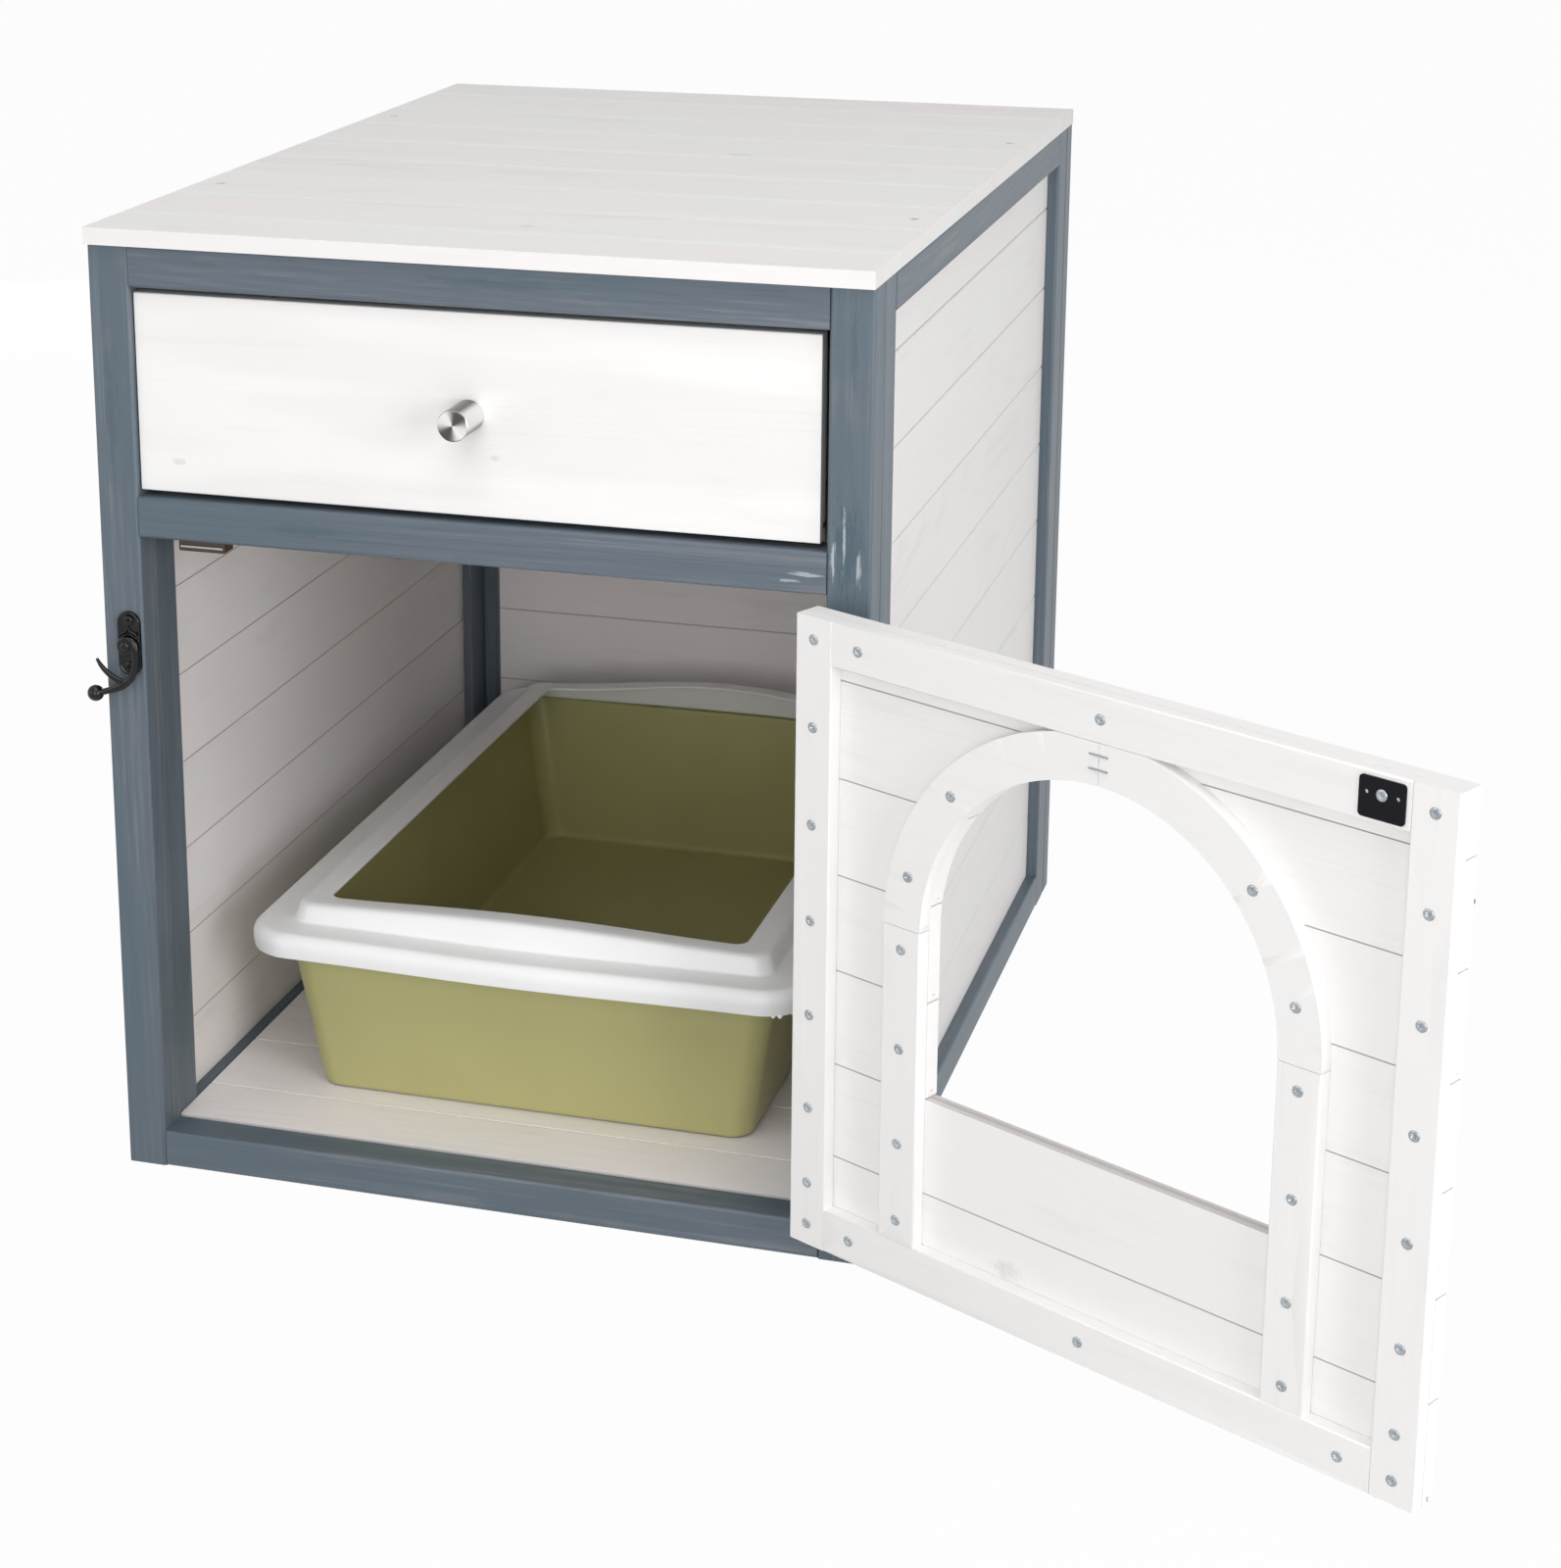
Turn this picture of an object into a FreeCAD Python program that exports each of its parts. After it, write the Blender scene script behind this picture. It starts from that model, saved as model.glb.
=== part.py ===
import FreeCAD, Part
import math
import os
import re

import Sketcher

# Cat litter box cabinet: a stained frame with boarded panels, a top drawer, and a
# boarded door with an arched way in for the cat. A litter tray stands inside.
# Origin: middle of the footprint, on the floor. +X right, +Y to the back, +Z up, in mm.
# The door is modelled shut and then turned open about its hinges.

os.makedirs("parts", exist_ok=True)
doc = FreeCAD.newDocument("litter_cabinet")
sheet = doc.addObject("Spreadsheet::Sheet", "Sizes")

SIZES = {
    # Outer frame
    "frame_width": 600,
    "frame_depth": 800,
    "frame_height": 746,
    "edge_round": 2.5,
    # Front frame
    "front_bar_deep": 30,
    "front_stile_wide": 32.7,
    "top_rail_tall": 31.8,
    "mid_rail_tall": 32,
    "drawer_opening_tall": 160.6,
    "bottom_rail_tall": 30.3,
    # Side and rear panel frames
    "side_bar_thick": 30,
    "side_front_stile_wide": 37,
    "side_rear_stile_wide": 36,
    "side_rail_tall": 30,
    "rear_bar_thick": 26.7,
    "rear_stile_wide": 42,
    "rear_rail_tall": 30,
    # Tongued and grooved boards
    "wall_board_thick": 9,
    "wall_board_pitch": 73.3,
    "wall_first_seam": 90.4,
    "side_board_inset": 10.5,
    "rear_board_inset": 10,
    "tongue_long": 5,
    "tongue_thick": 3,
    "tongue_play": 0.2,
    "seam_gap": 0.4,
    "seam_chamfer": 1,
    "groove_deep": 8,
    "groove_play": 0.3,
    "board_reach": 7,
    # Floor and the shelf under the drawer
    "floor_top": 30,
    "floor_board_thick": 12,
    "floor_board_pitch": 89.7,
    "floor_first_seam": 92.8,
    "floor_front_gap": 3.5,
    "floor_rear_gap": 1,
    "floor_side_gap": 0.5,
    "floor_cleat_wide": 18,
    "floor_cleat_tall": 15,
    "shelf_drop": 0.3,
    "shelf_board_thick": 12,
    "shelf_first_seam": 71,
    "shelf_cleat_side": 20,
    # Top boards
    "top_board_thick": 13,
    "top_board_pitch": 95.1,
    "top_first_seam": 64,
    "top_seam_chamfer": 0.6,
    "top_front_overhang": 5,
    "top_side_overhang": 0.5,
    "top_screw_inset": 18,
    "top_screw_front": 203,
    "top_screw_rear": 584,
    # Drawer
    "drawer_front_thick": 15,
    "drawer_front_set_back": 5.5,
    "drawer_left_gap": 1.3,
    "drawer_right_gap": 6.3,
    "drawer_low_gap": 4.4,
    "drawer_top_gap": 4.2,
    "drawer_edge_round": 1.2,
    "drawer_box_deep": 480,
    "drawer_side_thick": 12,
    "drawer_side_drop": 21.7,
    "drawer_side_step": 8.5,
    "drawer_panel_thick": 5,
    "drawer_panel_lift": 8,
    "drawer_panel_reach": 5,
    "drawer_groove_deep": 6,
    "runner_wide": 24,
    "runner_play": 0.3,
    "knob_wide": 23.5,
    "knob_long": 35.5,
    "knob_chamfer": 0.8,
    "knob_screw_wide": 4,
    "knob_screw_bite": 12,
    "knob_screw_head_wide": 9,
    "knob_screw_head_tall": 2.8,
    # Door
    "door_hinge_gap": 4.3,
    "door_free_gap": 1.3,
    "door_low_gap": 2.7,
    "door_top_gap": 4.1,
    "door_board_thick": 12.3,
    "door_bar_thick": 11,
    "door_bar_wide": 33,
    "door_first_seam": 106,
    "door_board_pitch": 73.3,
    "door_open_angle": 152.7,
    "cat_opening_wide": 294,
    "arch_band_wide": 33,
    "arch_let_in": 3.5,
    "arch_joint_gap": 0.4,
    "staple_wide": 15,
    "staple_wire": 1.2,
    "staple_top_drop": 8,
    "staple_spacing": 10,
    # Countersunk screws: the head shows, the shank is buried in the wood
    "screw_head_wide": 8,
    "screw_head_deep": 2.4,
    "screw_neck_wide": 4,
    "screw_play": 0.05,
    "stile_screw_end": 16.5,
    "stile_screw_second": 49.5,
    "rail_screw_end": 57,
    "arch_screw_low_angle": 14,
    "arch_screw_high_angle": 41.5,
    # Butt hinges on the outer faces
    "hinge_tall": 60,
    "hinge_from_door_end": 79.5,
    "hinge_leaf_wide": 24,
    "hinge_leaf_thick": 1.6,
    "hinge_pivot_proud": 5.4,
    "knuckle_wide": 9.4,
    "knuckle_middle_tall": 24,
    "knuckle_gap": 0.3,
    "hinge_pin_wide": 4.4,
    "hinge_pin_play": 0.05,
    "hinge_pin_head_tall": 2,
    "hinge_screw_from_end": 10,
    # Strike plate and magnetic catch
    "strike_wide": 33,
    "strike_tall": 27,
    "strike_thick": 1.2,
    "strike_corner": 3,
    "strike_screw_proud": 0.5,
    "strike_edge_gap": 3.5,
    "strike_side_hole_reach": 11,
    "strike_side_hole_wide": 2.7,
    "catch_wide": 38,
    "catch_tall": 15,
    "catch_deep": 16,
    "catch_aside": 15,
    "catch_face_behind_door": 2.3,
    "catch_ear_wide": 8,
    "catch_ear_thick": 2.5,
    "catch_plate_thick": 1.5,
    "catch_plate_proud": 0.5,
    # Swing latch on the left stile
    "latch_from_opening": 11.5,
    "latch_from_door_top": 80.5,
    "latch_plate_wide": 19,
    "latch_plate_tall": 51.3,
    "latch_plate_thick": 3,
    "latch_plate_round": 1.2,
    "latch_screw_spacing": 37,
    "latch_stand_off": 6,
    "latch_arm_thick": 4,
    "latch_arm_play": 0.3,
    "latch_boss_wide": 18,
    "latch_outer_radius": 29,
    "latch_outer_across": 19.7,
    "latch_outer_drop": 10.9,
    "latch_inner_radius": 26.5,
    "latch_inner_across": 23.2,
    "latch_inner_drop": 9.4,
    "latch_ball_wide": 12,
    "latch_ball_across": 27.1,
    "latch_ball_drop": 40.1,
    "latch_prong_radius": 26.2,
    "latch_prong_wide": 3.8,
    "latch_prong_start": 207,
    "latch_prong_end": 270,
    "latch_rivet_wide": 4,
    "latch_rivet_head_wide": 8,
    "latch_rivet_head_tall": 1.6,
    "keeper_radius": 21.5,
    "keeper_neck_wide": 4,
    "keeper_head_wide": 5.6,
    "keeper_head_tall": 2,
    "keeper_bite": 10,
    # Litter tray
    "tray_front_gap": 78,
    "tray_rear_gap": 31.3,
    "tray_side_gap": 35,
    "tray_wall": 2.5,
    "tray_seat_gap": 0.3,
    "tray_rim_up": 142,
    "tray_rim_inset": 32,
    "tray_end_inset": 26,
    "tray_draft": 20,
    "tray_end_draft": 17,
    "tray_foot_round": 4,
    "tray_corner": 40,
    "tray_lip_wide": 19,
    "tray_lip_corner": 45,
    "rim_wall": 2.2,
    "rim_band_tall": 20,
    "rim_band_bow": 1.5,
    "rim_shoulder": 4,
    "rim_deck_wide": 33,
    "rim_deck_end_wide": 28,
    "rim_collar_tall": 16,
    "rim_collar_wide": 23,
    "rim_collar_end_wide": 20,
    "rim_collar_lean": 4,
    "rim_corner": 48,
    "rim_corner_inside": 26,
    "rim_crown_front": 4,
    "rim_crown_rear": 12,
}

for row, (alias, amount) in enumerate(SIZES.items(), start=1):
    sheet.set(f"A{row}", alias.replace("_", " "))
    sheet.set(f"B{row}", str(amount))
    sheet.setAlias(f"B{row}", alias)
doc.recompute()

# Places that several pieces share, as formulas over the sheet
FRONT = "(-frame_depth / 2)"
REAR = "(frame_depth / 2)"
OPENING_HALF = "(frame_width / 2 - front_stile_wide)"
INSIDE_HALF = "(frame_width / 2 - side_bar_thick)"
BEHIND_FRONT = f"({FRONT} + front_bar_deep)"
REAR_INSIDE = f"({REAR} - rear_bar_thick)"
FLOOR_HALF = f"({INSIDE_HALF} - floor_side_gap)"
MID_RAIL_TOP = "(frame_height - top_rail_tall - drawer_opening_tall)"
SHELF_TOP = f"({MID_RAIL_TOP} - shelf_drop)"
SHELF_UNDER = f"({SHELF_TOP} - shelf_board_thick)"
DOOR_HINGE_EDGE = f"({OPENING_HALF} - door_hinge_gap)"
DOOR_FREE_EDGE = f"(door_free_gap - {OPENING_HALF})"
DOOR_WIDE = f"({DOOR_HINGE_EDGE} - {DOOR_FREE_EDGE})"
DOOR_MIDDLE = f"(({DOOR_HINGE_EDGE} + {DOOR_FREE_EDGE}) / 2)"
DOOR_BOTTOM = "(bottom_rail_tall + door_low_gap)"
DOOR_TOP = f"({MID_RAIL_TOP} - mid_rail_tall - door_top_gap)"
DOOR_SEAT = f"({FRONT} + door_board_thick)"
DOOR_INNER_FACE = f"({DOOR_SEAT} + door_bar_thick)"
SILL = "(door_first_seam + door_board_pitch)"
ARCH_INNER = "(cat_opening_wide / 2)"
ARCH_OUTER = f"({ARCH_INNER} + arch_band_wide)"
ARCH_UP = f"({DOOR_TOP} - door_bar_wide - {ARCH_OUTER} + arch_let_in)"
PIVOT_ACROSS = f"({OPENING_HALF} - door_hinge_gap / 2)"
PIVOT_FRONT = f"({FRONT} - hinge_pivot_proud)"
HINGE_UPS = {
    "hinge_low": f"({DOOR_BOTTOM} + hinge_from_door_end)",
    "hinge_high": f"({DOOR_TOP} - hinge_from_door_end)",
}
DRAWER_LEFT = f"(drawer_left_gap - {OPENING_HALF})"
DRAWER_RIGHT = f"({OPENING_HALF} - drawer_right_gap)"
DRAWER_MIDDLE = f"(({DRAWER_LEFT} + {DRAWER_RIGHT}) / 2)"
DRAWER_BOTTOM = f"({MID_RAIL_TOP} + drawer_low_gap)"
DRAWER_TOP = "(frame_height - top_rail_tall - drawer_top_gap)"
KNOB_UP = f"(({DRAWER_BOTTOM} + {DRAWER_TOP}) / 2)"
DRAWER_FACE = f"({FRONT} + drawer_front_set_back)"
DRAWER_BACK_FACE = f"({DRAWER_FACE} + drawer_front_thick)"
DRAWER_END = f"({DRAWER_BACK_FACE} + drawer_box_deep)"
LATCH_ACROSS = f"(-{OPENING_HALF} - latch_from_opening)"
LATCH_UP = f"({DOOR_TOP} - latch_from_door_top)"
KEEPER_ACROSS = f"({LATCH_ACROSS} + keeper_radius)"
LATCH_ARM_BACK = f"({FRONT} - latch_stand_off)"
CATCH_FACE = f"({DOOR_INNER_FACE} + catch_face_behind_door)"
STRIKE_LEFT = f"({DOOR_FREE_EDGE} + door_bar_wide + strike_edge_gap)"
CATCH_MIDDLE = f"({STRIKE_LEFT} + strike_wide / 2 - catch_aside)"
HINGE_CLEAR = "(knuckle_wide / 2 + knuckle_gap)"

NODES = []
PLANES = {"x": ("YZ_Plane", False), "y": ("XZ_Plane", True), "z": ("XY_Plane", False)}
TURNS = {
    "x": FreeCAD.Rotation(FreeCAD.Vector(0, 1, 0), 90),
    "y": FreeCAD.Rotation(FreeCAD.Vector(1, 0, 0), -90),
    "z": FreeCAD.Rotation(),
}
INWARD = FreeCAD.Vector(0, 1, 0)
OUTWARD = FreeCAD.Vector(0, -1, 0)
DOWN = FreeCAD.Vector(0, 0, -1)
TOUCH = 1e-4


# Formulas, values and places


def link(formula):
    """Points each size named in a formula at its cell in the sheet."""
    return re.sub(r"[a-z][a-z_]*", lambda m: f"Sizes.{m[0]}" if m[0] in SIZES else m[0], formula)


def bind(item, path, formula):
    item.setExpression(path, link(formula))


def size(alias):
    return float(sheet.get(alias))


def worth(formula):
    """What a formula over the sheet comes to."""
    return float(sheet.evalExpression(formula))


def keep(item, label):
    """Makes an object one of the cabinet's sub-parts."""
    item.Label = label
    NODES.append(item)
    return item


def group(label, members):
    item = doc.addObject("Part::Compound", label)
    item.Links = members
    return keep(item, label)


def place_at(item, across, along, up):
    bind(item, "Placement.Base.x", across)
    bind(item, "Placement.Base.y", along)
    bind(item, "Placement.Base.z", up)


# Solids with every size bound to the sheet


def block(name, x0, x1, y0, y1, z0, z1):
    item = doc.addObject("Part::Box", name)
    bind(item, "Length", f"{x1} - {x0}")
    bind(item, "Width", f"{y1} - {y0}")
    bind(item, "Height", f"{z1} - {z0}")
    place_at(item, x0, y0, z0)
    return item


def rod(name, axis, start, radius, length):
    item = doc.addObject("Part::Cylinder", name)
    bind(item, "Radius", radius)
    bind(item, "Height", length)
    item.Placement.Rotation = TURNS[axis]
    place_at(item, *start)
    return item


def cut(name, base, tool):
    item = doc.addObject("Part::Cut", name)
    item.Base = base
    item.Tool = tool
    return item


def common(name, base, tool):
    item = doc.addObject("Part::Common", name)
    item.Base = base
    item.Tool = tool
    return item


def fuse(name, members):
    item = doc.addObject("Part::MultiFuse", name)
    item.Shapes = members
    return item


def sketch_on(body, role):
    sketch = body.newObject("Sketcher::SketchObject", f"{body.Name}_outline")
    plane = next(f for f in body.Origin.OriginFeatures if f.Role == role)
    sketch.AttachmentSupport = [(plane, "")]
    sketch.MapMode = "FlatFace"
    return sketch


def closed_outline(sketch, corners):
    """A closed polygon, each corner held by its two distances from the sketch's origin."""
    count = len(corners)
    turn = 2 * math.pi / count
    ring = [FreeCAD.Vector(math.cos(turn * i), math.sin(turn * i), 0) for i in range(count)]
    sketch.addGeometry([Part.LineSegment(ring[i], ring[(i + 1) % count]) for i in range(count)])
    sketch.addConstraint(
        [Sketcher.Constraint("Coincident", i, 2, (i + 1) % count, 1) for i in range(count)]
    )
    for i, corner in enumerate(corners):
        for kind, formula, now in zip(("DistanceX", "DistanceY"), corner, ring[i]):
            spot = sketch.addConstraint(Sketcher.Constraint(kind, -1, 1, i, 1, now))
            bind(sketch, f"Constraints[{spot}]", formula)


def long_corner_edges(shape, axis):
    """Names of the edges along an axis that lie at the corners of the section's box."""
    box = shape.BoundBox
    limits = {"x": (box.XMin, box.XMax), "y": (box.YMin, box.YMax), "z": (box.ZMin, box.ZMax)}
    others = [a for a in "xyz" if a != axis]
    names = []
    for number, edge in enumerate(shape.Edges, start=1):
        first, last = edge.firstVertex().Point, edge.lastVertex().Point
        if abs(getattr(first, axis) - getattr(last, axis)) < TOUCH:
            continue
        at_corner = all(
            min(abs(getattr(point, a) - limit) for limit in limits[a]) < TOUCH
            for a in others
            for point in (first, last)
        )
        if at_corner:
            names.append(f"Edge{number}")
    return names


def bar(name, axis, corners, start, length, rounding="edge_round"):
    """A planed bar: its section is sketched, padded to length and eased on its long edges."""
    role, reverse = PLANES[axis]
    body = doc.addObject("PartDesign::Body", name)
    sketch = sketch_on(body, role)
    closed_outline(sketch, corners)
    pad = body.newObject("PartDesign::Pad", f"{name}_length")
    pad.Profile = sketch
    pad.Reversed = reverse
    bind(pad, "Length", length)
    bind(body, f"Placement.Base.{axis}", start)
    doc.recompute()
    if rounding:
        eased = body.newObject("PartDesign::Fillet", f"{name}_eased")
        eased.Base = (pad, long_corner_edges(pad.Shape, axis))
        bind(eased, "Radius", rounding)
    return body


def oblong(a0, a1, b0, b1):
    return [(a0, b0), (a1, b0), (a1, b1), (a0, b1)]


def grooved(a0, a1, closed, mouth, groove0, groove1, bottom, swap=False):
    """A bar's section with a groove in the face at mouth. a runs across the groove."""
    corners = [
        (a0, closed),
        (a0, mouth),
        (groove0, mouth),
        (groove0, bottom),
        (groove1, bottom),
        (groove1, mouth),
        (a1, mouth),
        (a1, closed),
    ]
    return [(b, a) for a, b in corners] if swap else corners


def board_section(face, inward, thick, start, pitch, chamfer, swap=False):
    """Section of a tongued and grooved board, from its show face inwards."""
    end = f"({start} + {pitch} - seam_gap)"

    def at(depth, along):
        across = f"{face} {inward} ({depth})"
        return (along, across) if swap else (across, along)

    tongue = (f"{thick} / 2 - tongue_thick / 2", f"{thick} / 2 + tongue_thick / 2")
    groove = (f"{tongue[0]} - tongue_play", f"{tongue[1]} + tongue_play")
    return [
        at("0", f"{start} + {chamfer}"),
        at("0", f"{end} - {chamfer}"),
        at(chamfer, end),
        at(tongue[0], end),
        at(tongue[0], f"{end} + tongue_long"),
        at(tongue[1], f"{end} + tongue_long"),
        at(tongue[1], end),
        at(thick, end),
        at(thick, start),
        at(groove[1], start),
        at(groove[1], f"{start} + tongue_long"),
        at(groove[0], f"{start} + tongue_long"),
        at(groove[0], start),
        at(chamfer, start),
    ]


def board_stack(name, axis, section, pitch, direction, count, start, length, field):
    """Boards laid side by side at their pitch, and ripped and cross cut to the field's box."""
    role, reverse = PLANES[axis]
    body = doc.addObject("PartDesign::Body", f"{name}_run")
    body.AllowCompound = True
    sketch = sketch_on(body, role)
    closed_outline(sketch, section)
    pad = body.newObject("PartDesign::Pad", f"{name}_board")
    pad.Profile = sketch
    pad.Reversed = reverse
    bind(pad, "Length", length)
    bind(body, f"Placement.Base.{axis}", start)
    row = body.newObject("PartDesign::LinearPattern", f"{name}_row")
    row.Originals = [pad]
    row.Direction = (sketch, [direction])
    bind(row, "Length", f"({count} - 1) * {pitch}")
    bind(row, "Occurrences", count)
    body.Tip = row
    return common(name, body, block(f"{name}_field", *field))


# Front frame


def build_front_frame():
    for label, sign in (("front_stile_left", "-1"), ("front_stile_right", "1")):
        section = oblong(
            f"{sign} * frame_width / 2", f"{sign} * {OPENING_HALF}", FRONT, BEHIND_FRONT
        )
        keep(bar(label, "z", section, "0", "frame_height"), label)
    rails = {
        "front_top_rail": ("frame_height - top_rail_tall", "frame_height"),
        "front_mid_rail": (f"{MID_RAIL_TOP} - mid_rail_tall", MID_RAIL_TOP),
        "front_bottom_rail": ("0", "bottom_rail_tall"),
    }
    for label, (low, high) in rails.items():
        section = oblong(FRONT, BEHIND_FRONT, low, high)
        keep(bar(label, "x", section, f"-{OPENING_HALF}", f"2 * {OPENING_HALF}"), label)


# Side panels: two stiles and two rails, grooved for the boards


def build_side_panel(hand, sign):
    outer = f"{sign} * frame_width / 2"
    inner = f"{sign} * {INSIDE_HALF}"
    board_outer = "(frame_width / 2 - side_board_inset)"
    groove0 = f"{sign} * ({board_outer} + groove_play)"
    groove1 = f"{sign} * ({board_outer} - wall_board_thick - groove_play)"
    front_edge = f"({BEHIND_FRONT} + side_front_stile_wide)"
    rear_edge = f"({REAR_INSIDE} - side_rear_stile_wide)"
    rail_long = f"{rear_edge} - {front_edge}"

    section = grooved(
        outer, inner, BEHIND_FRONT, front_edge, groove0, groove1, f"{front_edge} - groove_deep"
    )
    label = f"{hand}_panel_front_stile"
    keep(bar(label, "z", section, "0", "frame_height"), label)

    section = grooved(
        outer, inner, REAR_INSIDE, rear_edge, groove0, groove1, f"{rear_edge} + groove_deep"
    )
    label = f"{hand}_panel_rear_stile"
    keep(bar(label, "z", section, "0", "frame_height"), label)

    section = grooved(
        outer, inner, "0", "side_rail_tall", groove0, groove1, "side_rail_tall - groove_deep"
    )
    label = f"{hand}_panel_bottom_rail"
    keep(bar(label, "y", section, front_edge, rail_long), label)

    top_edge = "frame_height - side_rail_tall"
    section = grooved(
        outer, inner, "frame_height", top_edge, groove0, groove1, f"{top_edge} + groove_deep"
    )
    label = f"{hand}_panel_top_rail"
    keep(bar(label, "y", section, front_edge, rail_long), label)

    start = "(wall_first_seam - wall_board_pitch)"
    inward = "+" if sign == "-1" else "-"
    face = f"{sign} * {board_outer}"
    back = f"({face} {inward} wall_board_thick)"
    section = board_section(face, inward, "wall_board_thick", start, "wall_board_pitch", "seam_chamfer")
    reach0 = f"({front_edge} - board_reach)"
    reach1 = f"({rear_edge} + board_reach)"
    low_x, high_x = (face, back) if sign == "-1" else (back, face)
    field = (
        f"({low_x})",
        f"({high_x})",
        reach0,
        reach1,
        "(side_rail_tall - board_reach)",
        f"({top_edge} + board_reach)",
    )
    count = f"ceil((frame_height - {start}) / wall_board_pitch)"
    label = f"{hand}_panel_boards"
    stack = board_stack(
        label, "y", section, "wall_board_pitch", "V_Axis", count, reach0, f"{reach1} - {reach0}", field
    )
    keep(stack, label)


# Rear panel


def build_rear_panel():
    board_inner = f"({REAR_INSIDE} + rear_board_inset)"
    board_outer = f"({board_inner} + wall_board_thick)"
    groove0 = f"{board_inner} - groove_play"
    groove1 = f"{board_outer} + groove_play"
    inner_half = "(frame_width / 2 - rear_stile_wide)"
    for hand, sign in (("left", "-1"), ("right", "1")):
        section = grooved(
            REAR_INSIDE,
            REAR,
            f"{sign} * frame_width / 2",
            f"{sign} * {inner_half}",
            groove0,
            groove1,
            f"{sign} * ({inner_half} + groove_deep)",
            swap=True,
        )
        label = f"rear_panel_{hand}_stile"
        keep(bar(label, "z", section, "0", "frame_height"), label)

    top_edge = "frame_height - rear_rail_tall"
    rails = {
        "rear_panel_bottom_rail": ("0", "rear_rail_tall", "rear_rail_tall - groove_deep"),
        "rear_panel_top_rail": ("frame_height", top_edge, f"{top_edge} + groove_deep"),
    }
    for label, (closed, mouth, bottom) in rails.items():
        section = grooved(REAR_INSIDE, REAR, closed, mouth, groove0, groove1, bottom)
        keep(bar(label, "x", section, f"-{inner_half}", f"2 * {inner_half}"), label)

    start = "(wall_first_seam - wall_board_pitch)"
    section = board_section(
        board_outer, "-", "wall_board_thick", start, "wall_board_pitch", "seam_chamfer"
    )
    reach_half = f"({inner_half} + board_reach)"
    field = (
        f"(-{reach_half})",
        reach_half,
        board_inner,
        board_outer,
        "(rear_rail_tall - board_reach)",
        f"({top_edge} + board_reach)",
    )
    count = f"ceil((frame_height - {start}) / wall_board_pitch)"
    label = "rear_panel_boards"
    stack = board_stack(
        label,
        "x",
        section,
        "wall_board_pitch",
        "V_Axis",
        count,
        f"-{reach_half}",
        f"2 * {reach_half}",
        field,
    )
    keep(stack, label)


# Floor, shelf and top: boards from side to side


def lay_boards(label, top, thick, pitch, first_seam, chamfer, half, front, rear):
    start = f"({FRONT} + {first_seam} - {pitch})"
    section = board_section(top, "-", thick, start, pitch, chamfer, swap=True)
    count = f"ceil(({rear} - {start}) / {pitch})"
    field = (f"(-{half})", half, front, rear, f"({top} - {thick})", top)
    stack = board_stack(
        label, "x", section, pitch, "H_Axis", count, f"-{half}", f"2 * {half}", field
    )
    return stack


def build_floor():
    front = f"({BEHIND_FRONT} + floor_front_gap)"
    rear = f"({REAR_INSIDE} - floor_rear_gap)"
    boards = lay_boards(
        "floor_boards",
        "floor_top",
        "floor_board_thick",
        "floor_board_pitch",
        "floor_first_seam",
        "seam_chamfer",
        FLOOR_HALF,
        front,
        rear,
    )
    keep(boards, "floor_boards")
    under = "(floor_top - floor_board_thick)"
    cleats = []
    for hand, sign in (("left", "-1"), ("right", "1")):
        section = oblong(
            f"{sign} * {INSIDE_HALF}",
            f"{sign} * ({INSIDE_HALF} - floor_cleat_wide)",
            f"{under} - floor_cleat_tall",
            under,
        )
        cleats.append(bar(f"floor_cleat_{hand}", "y", section, front, f"{rear} - {front}", None))
    group("floor_cleats", cleats)


def build_shelf():
    front = f"({BEHIND_FRONT} + floor_rear_gap)"
    rear = f"({REAR_INSIDE} - floor_rear_gap)"
    boards = lay_boards(
        "shelf_boards",
        SHELF_TOP,
        "shelf_board_thick",
        "floor_board_pitch",
        "shelf_first_seam",
        "seam_chamfer",
        FLOOR_HALF,
        front,
        rear,
    )
    keep(boards, "shelf_boards")
    low = f"{SHELF_UNDER} - shelf_cleat_side"
    cleats = []
    for hand, sign in (("left", "-1"), ("right", "1")):
        section = oblong(
            f"{sign} * {INSIDE_HALF}",
            f"{sign} * ({INSIDE_HALF} - shelf_cleat_side)",
            low,
            SHELF_UNDER,
        )
        run = f"{REAR_INSIDE} - {BEHIND_FRONT}"
        cleats.append(bar(f"shelf_cleat_{hand}", "y", section, BEHIND_FRONT, run, None))
    half = f"({INSIDE_HALF} - shelf_cleat_side)"
    ends = {
        "front": (BEHIND_FRONT, f"{BEHIND_FRONT} + shelf_cleat_side"),
        "rear": (f"{REAR_INSIDE} - shelf_cleat_side", REAR_INSIDE),
    }
    for end, (near, far) in ends.items():
        section = oblong(near, far, low, SHELF_UNDER)
        cleats.append(bar(f"shelf_cleat_{end}", "x", section, f"-{half}", f"2 * {half}", None))
    group("shelf_cleats", cleats)


def build_top():
    boards = lay_boards(
        "top_boards_run",
        "(frame_height + top_board_thick)",
        "top_board_thick",
        "top_board_pitch",
        "top_first_seam",
        "top_seam_chamfer",
        "(frame_width / 2 + top_side_overhang)",
        f"({FRONT} - top_front_overhang)",
        REAR,
    )
    up = "(frame_height + top_board_thick)"
    spots = [
        (f"{sign} * (frame_width / 2 - top_screw_inset)", f"{FRONT} + {distance}", up)
        for distance in ("top_screw_front", "top_screw_rear")
        for sign in ("-1", "1")
    ]
    seats = screws("top_screw_seats", spots, DOWN, "screw_play")
    keep(cut("top_boards", boards, seats), "top_boards")
    keep(screws("top_screw_heads", spots, DOWN), "top_screws")


# Countersunk screw heads, and the seats that they are let into


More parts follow.
